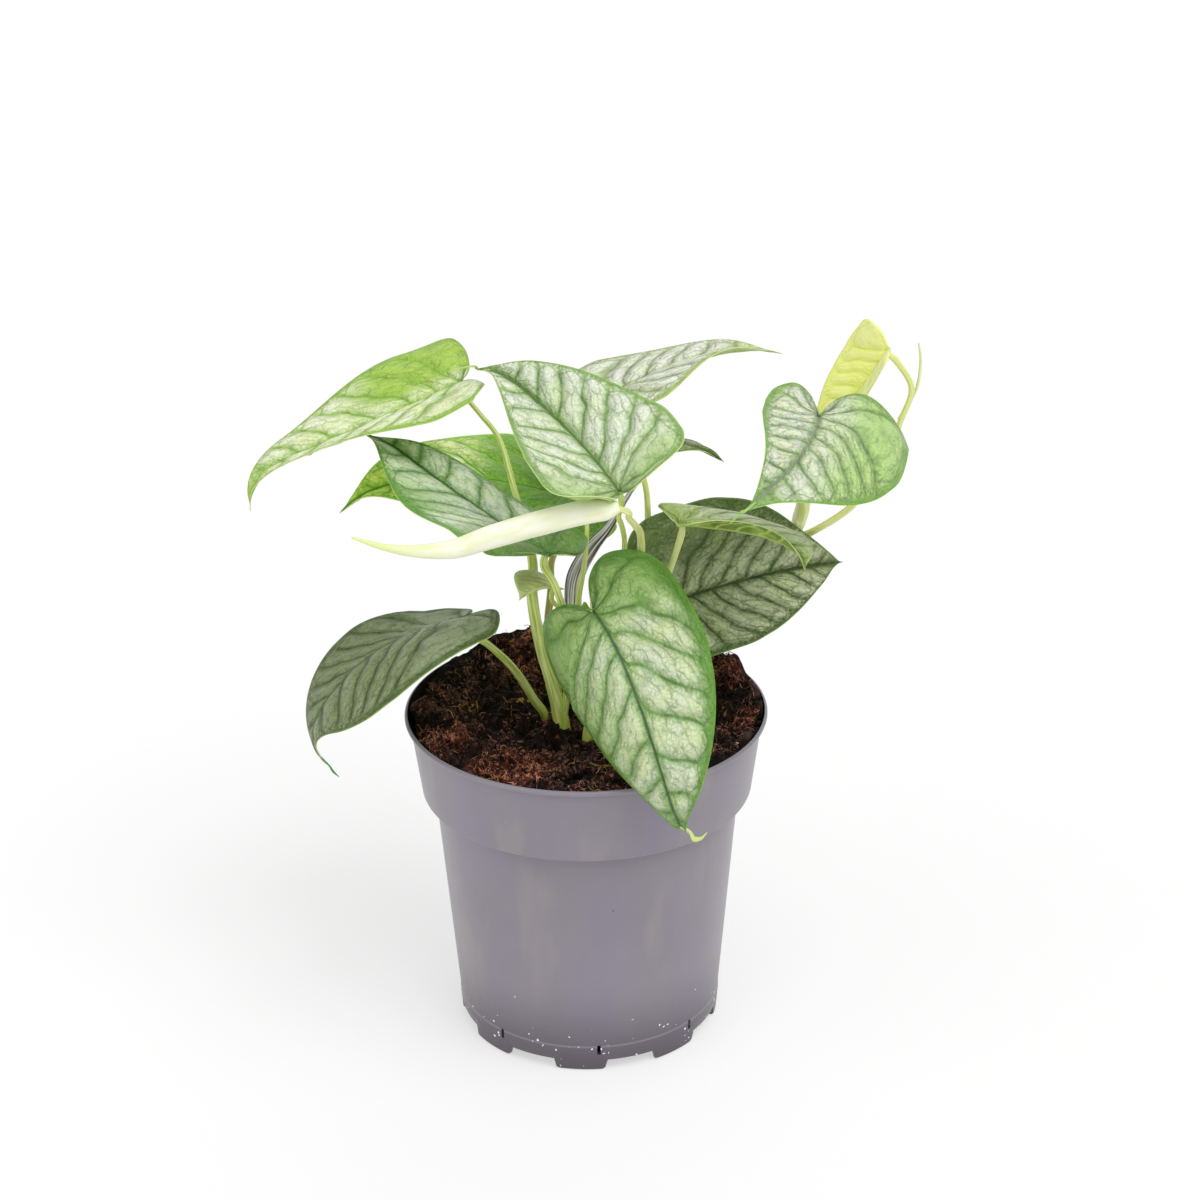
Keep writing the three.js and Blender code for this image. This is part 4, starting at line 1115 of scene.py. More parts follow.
# %% Blade meshes
# In mm: distance from a vein over which a field rises by two thirds, depth and half width of the
# midrib's channel, height and half width of the ribs below, half the thickness of the blade at its
# rim, and what is added to that inside it
RELIEF = {
    "dome": 2.2, "channel": (0.55, 1.1), "rib": (0.9, 0.85), "side_rib": (0.3, 0.6), "rim": 0.12,
    "inside": 0.16,
}


def surface_normals(place):
    """Unit cross product of the steps across and down the grid, with the collapsed first and last
    rows taken from their neighbours."""
    normal = np.cross(np.gradient(place, axis=1), np.gradient(place, axis=0))
    normal[0], normal[-1] = normal[1].mean(0), normal[-2].mean(0)
    return normal / np.maximum(np.linalg.norm(normal, axis=-1, keepdims=True), 1e-9)


def blade_faces(leaf):
    """Upper and lower face, p + n (h + swell - channel) and p - n (h - swell + ribs) from the middle
    surface p with its normal n, and the values that the points keep."""
    t, (place, flat, number, run, spacing, rim) = blade_grid(leaf)
    normal = surface_normals(place)
    across = np.abs(flat[..., 1])
    tip = 1 - smooth_step(0.88, 1, t)
    apart = np.abs(number - np.round(number)) * spacing
    dome = (1 - np.exp(-apart / RELIEF["dome"])) * np.minimum(1, spacing / 9)
    window = smooth_step(0, 4, across) * smooth_step(0.5, 6, rim)
    tufts = 0.16 * lattice_noise(flat, 3.4, 5) + 0.35 * lattice_noise(flat, 14, 6)
    swell = leaf["quilt"] * (1.6 * dome - 0.8) * window + tufts * smooth_step(0, 3, rim) * tip
    (sunk, sunk_wide), (high, wide), (low, narrow) = RELIEF["channel"], RELIEF["rib"], RELIEF["side_rib"]
    channel = sunk * np.exp(-(across / sunk_wide) ** 2) * tip
    thinner = 0.6 * np.clip(flat[..., 0] / leaf["length"], 0, 1)
    rib = (high - thinner) * np.exp(-(across / wide) ** 2) * tip
    side_rib = low * np.exp(-(apart / narrow) ** 2) * window
    half = RELIEF["rim"] + RELIEF["inside"] * smooth_step(0, 1.5, rim) * tip
    upper = place + normal * (half + swell - channel)[..., None]
    lower = place - normal * (half - swell + rib + side_rib)[..., None]
    return upper, lower, {"vein": np.stack([number, run, spacing], -1), "sheet": np.dstack([flat, rim])}


def make_blade(name, leaf):
    """Both faces in one mesh, joined along the rim. For the materials the upper face is 0, the lower
    face 1 and the rim 2."""
    upper, lower, values = blade_faces(leaf)
    rows, columns = upper.shape[:2]
    points = np.concatenate([upper.reshape(-1, 3), lower.reshape(-1, 3)])
    face = grid_triangles(rows, columns)
    under = face[:, ::-1] + rows * columns
    left = np.arange(rows) * columns
    rims = []
    for line, order in ((left, 1), (left + columns - 1, -1)):
        a, b = line[:-1], line[1:]
        c, d = a + rows * columns, b + rows * columns
        rims.append(np.stack([a, b, d], 1)[:, ::order])
        rims.append(np.stack([a, d, c], 1)[:, ::order])
    triangles = np.concatenate([face, under, *rims])
    kinds = np.repeat([0, 1, 2], [len(face), len(under), sum(map(len, rims))])
    values = {key: np.tile(value.reshape(-1, 3), (2, 1)) for key, value in values.items()}
    piece = make_piece(name.replace("blade", "leaf"), points, triangles, values, kinds)
    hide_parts(name)
    return piece


blades = {name: make_blade(name, leaf) for name, leaf in LEAVES.items()}
print("blades:", sum(len(piece.data.polygons) for piece in blades.values()), "triangles")

# %% [markdown]
# ## Finish of the leaves
#
# The silver of this species is air under the skin of the leaf: it lies between the veins, and
# leaves the midrib, the side veins and a band along the margin green. A fine net of veinlets
# shows through it. The skin is satin with a soft wide gloss, and pale specks are painted glints on
# it. Each leaf has its own greens, because old leaves are cool and dark and new ones are yellow. On
# some leaves painted light and shade is mixed into these colours: a shaded half, a shaded underside,
# pale tips and a backlit glow painted as light, sheen, and a grey midrib painted as a reflection.
#
# In the table the colours come first, with wash for the foot, tip for the tip and side for one half.
# Where one half is tinted, half says how many mm from the midrib that takes, with a minus for the
# left half, and since and upto say from where to where along the blade. The band is the green along
# the rim, foot and tip_at say where the two ends begin, amount is how full the silver is, net how
# strong the veinlets are, and puff, where it isn't 1, how strong the fine relief is.

# %% Leaf colours
LOOKS = {
    "blade_top_left": {
        "silver": "#f4f8dc", "pale": "#ecf4c0", "green": "#90bd40", "vein": "#7ba23c", "rib": "#84a648",
        "rim": "#9cc63e", "under": "#b4cc70", "wash": "#a6cf3c", "side": "#a4cc28", "tip": "#b8d070",
        "half": 9, "upto": 34, "amount": 0.95, "band": 3, "net": 0.6, "foot": -12, "tip_at": 72,
        "slot": "leaf_bright",
    },
    "blade_top_centre": {
        "silver": "#eef4e2", "pale": "#ecf6d0", "green": "#82ac4e", "vein": "#6a8a50", "rib": "#6c8c4c",
        "rim": "#9cc464", "under": "#b9cf80", "wash": "#c0da94", "tip": "#f6fce4",
        "amount": 0.95, "band": 3, "net": 0.7, "foot": 2, "tip_at": 74,
        "slot": "leaf_silver",
    },
    "blade_mid_left": {
        "silver": "#ecf5e2", "pale": "#ecf7d2", "green": "#68a03a", "vein": "#567a46", "rib": "#3f6030",
        # Painted light: the pale tip lightens the part of the blade that turns away from the light
        "rim": "#78a848", "under": "#a8c070", "wash": "#6c9c2c", "side": "#8cb45c", "tip": "#eefad6",
        "half": -26, "since": 30, "upto": 99, "amount": 0.95, "band": 4, "net": 0.6, "foot": 10,
        "tip_at": 58, "slot": "leaf_silver",
    },
    "blade_behind_left": {
        # Painted light: the near-white silver and the bright yellow tip stand in for light shining through
        # this blade from behind
        "silver": "#faffa8", "pale": "#ffffd0", "green": "#94d028", "vein": "#5c9018", "rib": "#5c9018",
        "rim": "#b4ec48", "under": "#92c044", "wash": "#5c9c08", "side": "#5a9408", "tip": "#e4ff64",
        "half": -9, "upto": 90, "amount": 0.95, "band": 4, "net": 0.8, "foot": 32, "tip_at": 54,
        "slot": "leaf_bright",
    },
    "blade_upper_right": {
        "silver": "#f2f2ea", "pale": "#f0f4d8", "green": "#98b464", "vein": "#79826e", "rib": "#6f8548",
        "rim": "#b8d068", "under": "#bccf86", "wash": "#e2e2da", "tip": "#d2dd9c",
        "amount": 0.95, "band": 2.5, "net": 0.8, "foot": 0, "tip_at": 50,
        "slot": "leaf_silver",
    },
    "blade_behind_right": {
        "silver": "#a4aa84", "pale": "#b4b898", "green": "#5c7234", "vein": "#4c6024", "rib": "#4c6024",
        "rim": "#7f9a4c", "under": "#5c7a30", "wash": "#6f8648", "tip": "#b6c088",
        "amount": 0.7, "band": 3, "net": 0.5, "foot": 8, "tip_at": 44,
        "slot": "leaf_dark",
    },
    "blade_right_heart": {
        # Painted reflection: the grey midrib stands in for the bright surroundings reflected in it
        "silver": "#e8ebdc", "pale": "#edf3d0", "green": "#7fa84a", "vein": "#66805c", "rib": "#8f9a86",
        "rim": "#7fbc38", "under": "#bccf7c", "wash": "#d9e2bc", "side": "#b2d676", "tip": "#8cb84c",
        "half": -18, "upto": 46, "amount": 0.95, "band": 3.5, "net": 0.75, "foot": -20, "tip_at": 58,
        "slot": "leaf_silver",
    },
    "blade_unfurling": {
        "silver": "#f8fc9c", "pale": "#fbfcb8", "green": "#f0f480", "vein": "#d0de60", "rib": "#d6e262",
        "rim": "#eef2a8", "under": "#e4ea80", "wash": "#f4f8c0", "side": "#ffffe8", "tip": "#eef286",
        "half": -7, "upto": 60, "amount": 0.5, "band": 2, "net": 0.25, "foot": 0, "tip_at": 36,
        "puff": 0.35, "slot": "leaf_young",
    },
    "blade_dark_right": {
        "silver": "#ccd2ae", "pale": "#d2deaa", "green": "#4c6626", "vein": "#374c20", "rib": "#3a5024",
        # Painted shade: the dark olive side wash on one half is the shade that half lies in
        "rim": "#728e48", "under": "#86a05c", "wash": "#5f7a2c", "side": "#60772e", "tip": "#889c50",
        "half": -22, "upto": 50, "amount": 0.9, "band": 3, "net": 0.9, "foot": -6, "tip_at": 58,
        "slot": "leaf_dark",
    },
    "blade_arching": {
        "silver": "#fafce4", "pale": "#fcffe8", "green": "#aac862", "vein": "#64803c", "rib": "#84a04c",
        # Painted shade: the dark underside stands in for the shade under this arching blade
        "rim": "#c8dc7c", "under": "#66802c", "wash": "#a4b860", "tip": "#d4e696",
        "amount": 0.9, "band": 1.8, "net": 0.55, "foot": 5, "tip_at": 46,
        "slot": "leaf_silver",
    },
    "blade_front": {
        "silver": "#dde5ca", "pale": "#dde7b8", "green": "#689a3c", "vein": "#587a3c", "rib": "#4a6044",
        "rim": "#74a83e", "under": "#a4be6c", "wash": "#9abc64", "side": "#a6bf7a", "tip": "#7aa448",
        "half": 22, "upto": 90, "amount": 0.9, "band": 8, "net": 0.7, "foot": 7, "tip_at": 75,
        "slot": "leaf_silver",
    },
    "blade_low_left": {
        "silver": "#8e966e", "pale": "#8c9a68", "green": "#4c642c", "vein": "#3a4c20", "rib": "#3a4c20",
        # Painted sheen: the whitish tip is a sheen, and the paler wash at the foot is partly one
        "rim": "#7a9450", "under": "#8aa45c", "wash": "#aab690", "tip": "#dedfd6",
        "amount": 0.85, "band": 3.5, "net": 0.8, "foot": 15, "tip_at": 72,
        "slot": "leaf_dark",
    },
    "blade_small": {
        "silver": "#ffffc4", "pale": "#ffffc4", "green": "#dcea98", "vein": "#b4c870", "rib": "#e8e4cc",
        "rim": "#f4fcb8", "under": "#c6d890", "wash": "#f4f2b8", "side": "#b89a70", "tip": "#dcee98",
        "half": 5, "upto": 60, "amount": 0.8, "band": 2, "net": 0.5, "foot": 3, "tip_at": 16,
        "slot": "leaf_dark",
    },
}
print("leaf looks:", list(LOOKS))


# %% Places on a leaf
def vein_distances(tree):
    """Outputs of what the points carry: distances in mm to the nearest side vein, to the midrib and
    to the rim, the share of a field that lies between the point and its vein (0 to 0.5), then the
    flat place and the two running numbers."""
    vein = add(tree, "Attribute", {"attribute_name": "vein"})["Vector"]
    sheet = add(tree, "Attribute", {"attribute_name": "sheet"})["Vector"]
    number, run, spacing = add(tree, "SeparateXYZ", {}, [vein])
    ahead, across, rim = add(tree, "SeparateXYZ", {}, [sheet])
    apart = add(tree, "Math", {"operation": "PINGPONG"}, (number, 0.5))[0]
    lateral = add(tree, "Math", TIMES, (apart, spacing))[0]
    midrib = add(tree, "Math", SIZE, [across])[0]
    return {
        "lateral": lateral, "midrib": midrib, "rim": rim, "sheet": sheet, "ahead": ahead,
        "across": across, "number": number, "run": run, "apart": apart,
    }


def field_colour(tree, near, look, shift):
    """Colour of the fields: two silvers in clouds of 11 mm, then washes on one half, at the foot and
    at the tip."""
    clouds = add(tree, "TexNoise", {}, {"Vector": near["sheet"], "Scale": 1 / 11, "Detail": 2.0})[0]
    colour = painted(tree, linear(look["silver"]), [(clouds, 0.35, 0.65, 0.0, 1.0, look["pale"])])
    if "half" in look:
        wash = add(tree, "MapRange", SMOOTH, (near["across"], 0.0, look["half"], 0.0, 0.9))[0]
        upto, since = look["upto"], look.get("since", -60)
        before, beyond = (upto + 10.0, upto - 10.0), (since - 8.0, since + 8.0)
        there = mask(tree, (near["ahead"], *before), (near["ahead"], *beyond))
        wash = add(tree, "Math", TIMES, (wash, there))[0]
        colour = add(tree, "Mix", BLEND, {0: wash, A: colour, B: linear(look["side"])})[MIXED]
    stray = add(tree, "Math", TIMES_PLUS, (shift, 4.0, near["ahead"]))[0]
    return painted(tree, colour, [
        (stray, look["foot"] + 10.0, look["foot"] - 6.0, 0.0, 0.9, look["wash"]),
        (near["ahead"], look["tip_at"] - 8.0, look["tip_at"] + 6.0, 0.0, 0.9, look["tip"]),
    ])


print("blades with a wash on one half:", [name for name, look in LOOKS.items() if "half" in look])

# %% Nets of veinlets
# Cells of the first net across a field, and their length in mm. Then mm across a cell of the mesh,
# on the upper and on the lower face. The real mesh is finer, too fine to show here
LADDER = {"across": 2.3, "long": 5.5}
MESH = {"upper": 1.6, "lower": 3.2}


def net_lines(tree, at, cells, width):
    """One on the borders of Voronoi cells and nought inside them."""
    settings = {"feature": "DISTANCE_TO_EDGE", "voronoi_dimensions": "2D"}
    mesh = add(tree, "TexVoronoi", settings, {"Vector": at, "Scale": cells, "Randomness": 0.95})
    return add(tree, "MapRange", SMOOTH, (mesh["Distance"], 0.0, width, 1.0, 0.0))[0]


def veinlets(tree, near):
    """Lines of two nets, broken by noise: a ladder of cells between the side veins, and a fine mesh.
    Also a soft glow along the first net."""
    sideways = add(tree, "Math", TIMES, (near["number"], LADDER["across"]))[0]
    along = add(tree, "Math", TIMES, (near["run"], 1 / LADDER["long"]))[0]
    ladder = add(tree, "CombineXYZ", {}, (sideways, along))[0]
    wobble = add(tree, "TexNoise", {}, {"Vector": near["sheet"], "Scale": 1 / 3.4, "Detail": 3.0})[1]
    ladder = add(tree, "VectorMath", TIMES_PLUS, (wobble, (0.9, 0.9, 0), ladder))[0]
    fine = add(tree, "VectorMath", TIMES_PLUS, (wobble, (3, 3, 0), near["sheet"]))[0]
    broken = add(tree, "TexNoise", {}, {"Vector": near["sheet"], "Scale": 1 / 4, "Detail": 3.0})[0]
    broken = add(tree, "MapRange", SMOOTH, (broken, 0.38, 0.6, 0.45, 1.0))[0]
    rungs = add(tree, "Math", TIMES, (net_lines(tree, ladder, 1.0, 0.09), 0.6))[0]
    mesh = add(tree, "Math", TIMES, (net_lines(tree, fine, 1 / MESH["upper"], 0.2), 0.42))[0]
    lines = add(tree, "Math", LARGER, (rungs, mesh))[0]
    lines = add(tree, "Math", TIMES, (lines, broken))[0]
    glow = add(tree, "Math", TIMES, (net_lines(tree, ladder, 1.0, 0.28), broken))[0]
    return lines, glow


def marginal_loops(tree, near):
    """Lines that join the side veins inside the margin: 2 mm from the rim in the middle of a field
    and 4.6 mm from it at a vein."""
    bow = add(tree, "MapRange", SMOOTH, (near["apart"], 0.0, 0.5, 4.6, 2.0))[0]
    off = add(tree, "Math", MINUS, (near["rim"], bow))[0]
    off = add(tree, "Math", SIZE, [off])[0]
    return mask(tree, (off, 0.1, 0.6, 0.5, 0.0), (near["midrib"], 3.0, 7.0))


print("cells of the mesh:", MESH, "mm")

# %% Leaf finish, upper face
LEAF_GLOW = {"Subsurface Radius": (0.8, 1.0, 0.3), "Subsurface Scale": 0.5 * MM}


def silver_mask(tree, near, look, shift, length):
    """Amount of silver: it comes in away from the side veins, the midrib and the rim. The green band
    along the rim narrows to a third of its width at the tip."""
    from_vein = add(tree, "Math", TIMES_PLUS, (shift, 0.07, near["apart"]))[0]
    from_rib = add(tree, "Math", PLUS, (shift, near["midrib"]))[0]
    from_rim = add(tree, "Math", TIMES_PLUS, (shift, 1.3, near["rim"]))[0]
    widths = (0.4 * length, 0.85 * length, look["band"], 0.35 * look["band"])
    band = add(tree, "MapRange", SMOOTH, (near["ahead"], *widths))[0]
    from_rim = add(tree, "Math", {"operation": "DIVIDE"}, (from_rim, band))[0]
    vein_side, rib_side = (from_vein, -0.03, 0.25, 0.2, 1.0), (from_rib, -0.2, 3.0, 0.15, 1.0)
    silver = mask(tree, vein_side, rib_side, (from_rim, 0.2, 1.3))
    return add(tree, "Math", TIMES, (silver, look["amount"]))[0]


def leaf_relief(tree, near, ragged, lines, glow):
    """Height for the bump: fields puffed up between the side veins, and cells between veinlets."""
    puffed = mask(tree, (near["apart"], 0.0, 0.4), (near["rim"], 0.0, 6.0), (near["midrib"], 0.0, 5.0))
    sunk = add(tree, "Math", TIMES, (glow, -0.2))[0]
    cells = add(tree, "Math", TIMES_PLUS, (lines, -0.3, sunk))[0]
    relief = add(tree, "Math", PLUS, (puffed, cells))[0]
    return add(tree, "Math", TIMES_PLUS, (ragged, 0.3, relief))[0]


def leaf_upper(name, look, length):
    """Waxy aroid leaf, upper face: silver in the fields, green along side veins, midrib and rim,
    then the nets of veinlets and pale specks painted as glints, and last the side veins, the midrib
    and the margin as lines."""
    settings = {"Roughness": 0.4, "Specular IOR Level": 0.35, "Subsurface Weight": 0.08, **LEAF_GLOW}
    material, tree, shader = new_finish(name, settings)
    near = vein_distances(tree)
    ragged = add(tree, "TexNoise", {}, {"Vector": near["sheet"], "Scale": 1 / 1.3, "Detail": 3.0})[0]
    shift = add(tree, "MapRange", {}, (ragged, 0.3, 0.7, -0.7, 0.7))[0]
    silver = silver_mask(tree, near, look, shift, length)
    fields = field_colour(tree, near, look, shift)
    colour = add(tree, "Mix", BLEND, {0: silver, A: linear(look["green"]), B: fields})[MIXED]
    lines, glow = veinlets(tree, near)
    soft = add(tree, "Math", TIMES, (glow, look["net"] * 0.35))[0]
    crisp = add(tree, "Math", TIMES, (lines, look["net"]))[0]
    # Painted highlights: pale specks on the silver stand in for small glints of light
    painted_glints = add(tree, "TexNoise", {}, {"Vector": near["sheet"], "Scale": 1 / 1.1, "Detail": 3.0})[0]
    painted_glints = add(tree, "MapRange", SMOOTH, (painted_glints, 0.5, 0.72, 0.0, 0.15))[0]
    painted_glints = add(tree, "Math", TIMES, (painted_glints, silver))[0]
    uneven = add(tree, "TexNoise", {}, {"Vector": near["sheet"], "Scale": 1 / 9, "Detail": 1.0})[0]
    vein_line, faint = (near["lateral"], 0.1, 0.75, 1.0, 0.0), (uneven, 0.4, 0.6, 0.35, 0.85)
    thin = mask(tree, vein_line, faint, (near["rim"], 2.5, 6.0))
    thin = add(tree, "Math", LARGER, (thin, marginal_loops(tree, near)))[0]
    over = [(soft, look["green"]), (crisp, look["vein"]), (painted_glints, "#f4f8e8"), (thin, look["vein"])]
    for amount, paint in over:
        colour = add(tree, "Mix", BLEND, {0: amount, A: colour, B: linear(paint)})[MIXED]
    colour = painted(tree, colour, [
        (near["midrib"], 0.15, 0.8, 0.9, 0.0, look["rib"]),
        (near["rim"], 0.25, 0.9, 0.8, 0.0, look["rim"]),
    ])
    relief = leaf_relief(tree, near, ragged, lines, glow)
    dress(tree, shader, colour, relief, look.get("puff", 1.0), 1.1)
    return material


print("upper face ready")


# %% Leaf finish, lower face and rim
def leaf_lower(name, look):
    """Lower face: paler and matt, in clouds of 8 mm, with ribs of the margin's yellower green."""
    settings = {"Roughness": 0.55, "Specular IOR Level": 0.3, "Subsurface Weight": 0.1, **LEAF_GLOW}
    material, tree, shader = new_finish(name, settings)
    near = vein_distances(tree)
    cloud = add(tree, "TexNoise", {}, {"Vector": near["sheet"], "Scale": 0.12, "Detail": 4.0})[0]
    skin = painted(tree, linear(look["under"]), [(cloud, 0.35, 0.75, 0.0, 1.0, look["green"])])
    mesh = net_lines(tree, near["sheet"], 1 / MESH["lower"], 0.12)
    mesh = add(tree, "Math", TIMES, (mesh, 0.3))[0]
    skin = add(tree, "Mix", BLEND, {0: mesh, A: skin, B: linear(look["green"])})[MIXED]
    rib = add(tree, "Math", {"operation": "MINIMUM"}, (near["lateral"], near["midrib"]))[0]
    colour = painted(tree, skin, [(rib, 0.2, 0.9, 0.7, 0.0, look["rim"])])
    dress(tree, shader, colour)
    return material


def leaf_rim(name):
    """Thin pale line of the margin."""
    return new_finish(name, {"Base Color": linear("#dbe6a4"), "Roughness": 0.45})[0]


rim_finish = leaf_rim("pale_leaf_margin")
for name, look in LOOKS.items():
    kind = name.replace("blade", "leaf")
    upper = leaf_upper("waxy_" + kind, look, LEAVES[name]["length"])
    for finish in (upper, leaf_lower("matt_underside_" + kind, look), rim_finish):
        blades[name].data.materials.append(finish)
print("leaf materials:", len(bpy.data.materials))

# %% [markdown]
# ## Stems and petioles
#
# The plant is several rooted cuttings. Each petiole is a smooth stalk that follows a given
# route and thickens into a sheath at its foot. A centripetal Catmull-Rom curve goes through the
# route's points, and a round section with a shallow groove is carried along it.

# %% Stem routes
SHOOTS = {
    "shoot_left": [
        {
            "blade": "blade_top_left", "tint": "plain",
            "points": [
                (-7, -9, 93, 2.6), (-8, -9, 112, 2.7), (-11, -8, 127, 2.3), (-14, -6, 137, 2),
                (-17, 2, 152, 1.9), (-17, 12, 161, 1.6), (-22, 24, 178, 1.1), (-28, 34, 196, 0.9),
                (-34, 40, 202, 0.8),
            ],
        },
        {
            "blade": "blade_behind_left", "tint": "red",
            "points": [
                (-9, -9, 118, 1.4), (-11, -3, 133, 1.3), (-12, 2, 144, 1.3), (-11, 8, 152, 1.3),
                (-11, 18, 157, 1.2), (-9, 35, 157, 1.1), (-8.5, 48, 157, 1.1),
            ],
        },
        {
            "blade": "blade_mid_left", "tint": "plain",
            "points": [
                (-8, -9, 110, 1.4), (-6, -10, 125, 1.2), (-5.2, -12.5, 142, 1.1), (-5.4, -16.5, 152, 1.1),
                (-7.2, -19.5, 160, 1.2), (-9.4, -19, 166.5, 1.2),
            ],
        },
        {
            "blade": "blade_small", "tint": "plain",
            "points": [(-5.3, -14.4, 149, 0.8), (-6.2, -12.4, 153, 0.7)],
        },
    ],
    "shoot_middle": [
        {
            "blade": "blade_top_centre", "tint": "plain",
            "points": [
                (0, -13, 93, 2.2), (1, -13, 110, 2.2), (4, -14, 128, 1.4), (9, -11, 147, 1.1),
                (12, -10, 164, 1), (13, -15, 178, 0.9), (12, -28, 190, 0.9), (11, -39, 198, 0.9),
            ],
        },
        {
            "blade": "leaf_rolled", "tint": "pale",
            "points": [
                (2, -14, 112, 1.4), (9, -15, 138, 1.5), (15.5, -13.5, 161, 1.5), (18, -16, 174.5, 1.3),
                (17.8, -24, 185.5, 1.2), (16, -37, 194, 1.1), (14, -48, 201, 1),
            ],
        },
        {
            "blade": "blade_front", "tint": "plain",
            "points": [(1, -14, 114, 1.3), (3, -20, 130, 1.2), (4, -29, 148, 1.1)],
        },
        {
            "blade": "blade_arching", "tint": "pale",
            "points": [
                (1, -13, 108, 1.3), (9, -15, 122, 1.3), (16, -18, 142, 1.1), (22, -19, 158, 1),
                (27, -20, 171, 1),
            ],
        },
    ],
    "shoot_back": [
        {
            "blade": "blade_upper_right", "tint": "plain",
            "points": [
                (5, 0, 93, 2.2), (6, 2, 108, 2.2), (10, 7, 120, 1.6), (16, 12, 134, 1.3),
                (20, 14, 149, 1.2), (21, 14, 174, 1.1), (20, 12, 188, 1), (16, 15, 198, 0.9),
                (9, 25, 200, 0.9),
            ],
        },
        {
            "blade": "blade_behind_right", "tint": "plain",
            "points": [
                (6, 2, 110, 1.4), (1, 4, 124, 1.2), (-2, 4, 138, 1.1), (-2, 5, 150, 1.1),
                (0, 6, 162, 0.9), (1, 7, 173, 0.8), (1, 18, 181, 0.8), (2, 38, 184, 0.8),
            ],
        },
        {
            "blade": "blade_dark_right", "tint": "plain",
            "points": [(6, 1, 109, 1.4), (13, 4, 124, 1.2), (21, 8, 137, 1.1)],
        },
    ],
    "shoot_right": [
        {
            "blade": "blade_right_heart", "tint": "pale",
            "points": [
                (12, 8, 93, 2.2), (12, 8, 108, 2.2), (20, 13, 117, 2), (33, 22, 128, 1.9),
                (47, 32, 141, 1.8), (59, 41, 147, 1.8), (69, 40, 156, 2.1), (72, 28, 170, 2.6),
                (72, 13, 186, 2.2), (73, 0, 203, 1.3),
            ],
        },
        {
            "blade": "blade_unfurling", "tint": "pale",
            "points": [
                (69, 40, 155, 1.5), (78, 32, 163, 1.2), (89, 30, 172, 1.2), (98, 29, 186, 1.1),
                (104, 28, 203, 1), (107, 28, 214, 1),
            ],
        },
    ],
    "petiole_low_left": [
        {
            "blade": "blade_low_left", "tint": "plain",
            "points": [
                (-14, 6, 93, 1.5), (-14, 5, 108, 1.5), (-17, 4, 114, 1.5), (-25, 1, 129, 1.3),
                (-36, -3, 141, 1.1),
            ],
        },
    ],
}
ROLLED = {
    "points": [
        (11, -56, 208, 1.8), (7, -56, 207, 3.6), (0, -56, 206, 4), (-14, -55, 202, 4.1),
        (-28, -53, 197, 3.9),
        (-39, -52, 193, 3.2), (-50, -51, 192, 2.2), (-60, -50, 193, 1.2), (-70, -49, 196, 0.4),
    ],
    "overlap": 0.14,
}
BRACT = {
    "points": [
        (-2, 10, 93, 1.4), (-2, 10, 108, 1.5), (-3, 13, 124, 2.2), (-4, 16, 141, 2.8), (-3, 17, 153, 3),
        (2, 17, 163, 2.6), (8, 16, 171, 1.5), (13.2, 16, 180, 0.9), (19.5, 17, 189.5, 0.5),
    ],
    "flatness": 0.32,
}
print("routes:", {name: len(routes) for name, routes in SHOOTS.items()})


# %% Stalk path
def stalk_path(points, step=0.8):
    """Centripetal Catmull-Rom curve through the points, resampled at even steps. Knots lie apart by
    the square root of each chord, and the curve between two points is three nested blends."""
    route = np.array(points, float)
    places = np.vstack([2 * route[0, :3] - route[1, :3], route[:, :3], 2 * route[-1, :3] - route[-2, :3]])
    knots = np.concatenate([[0], np.cumsum(np.linalg.norm(np.diff(places, axis=0), axis=1) ** 0.5)])
    share = np.linspace(0, len(route) - 1, 40 * (len(route) - 1) + 1)
    low = np.minimum(share.astype(int), len(route) - 2)
    w = (share - low)[:, None]
    k0, k1, k2, k3 = (knots[low + n][:, None] for n in range(4))
    p0, p1, p2, p3 = (places[low + n] for n in range(4))
    at = k1 + w * (k2 - k1)
    a = p0 + (p1 - p0) * (at - k0) / (k1 - k0)
    b = p1 + (p2 - p1) * (at - k1) / (k2 - k1)
    c = p2 + (p3 - p2) * (at - k2) / (k3 - k2)
    d = a + (b - a) * (at - k0) / (k2 - k0)
    e = b + (c - b) * (at - k1) / (k3 - k1)
    fine = d + (e - d) * (at - k1) / (k2 - k1)
    radius = route[low, 3] + (route[low + 1, 3] - route[low, 3]) * w[:, 0]
    length = np.concatenate([[0], np.cumsum(np.linalg.norm(np.diff(fine, axis=0), axis=1))])
    even = np.linspace(0, length[-1], max(4, int(length[-1] / step)))
    path = np.stack([np.interp(even, length, fine[:, k]) for k in range(3)], -1)
    return path, np.interp(even, length, radius), even


lengths = {name: [round(stalk_path(route["points"])[2][-1]) for route in routes]
           for name, routes in SHOOTS.items()}
print("stalk lengths in mm:", lengths)


# %% Stalk section
def path_frame(path):
    """Tangent and two directions square to it. They come from one fixed direction, the one of
    several that the path comes least close to."""
    tangent = np.gradient(path, axis=0)
    tangent = tangent / np.linalg.norm(tangent, axis=1, keepdims=True)
    choices = np.array([[1, 0, 0], [0, 1, 0], [0, 0, 1], [0.7, 0.7, 0], [0.7, -0.7, 0], [0.7, 0, 0.7]])
    clearance = [np.linalg.norm(np.cross(tangent, way), axis=1).min() for way in choices]
    u = np.cross(choices[int(np.argmax(clearance))], tangent)
    u = u / np.linalg.norm(u, axis=1, keepdims=True)
    return tangent, u, np.cross(tangent, u)


def stalk_grid(path, radius, section):
    """Grid of points: section points times the radius, set square to the path."""
    _, u, v = path_frame(path)
    ring = section[..., :1] * u[:, None] + section[..., 1:] * v[:, None]
    return path[:, None] + radius[:, None, None] * ring


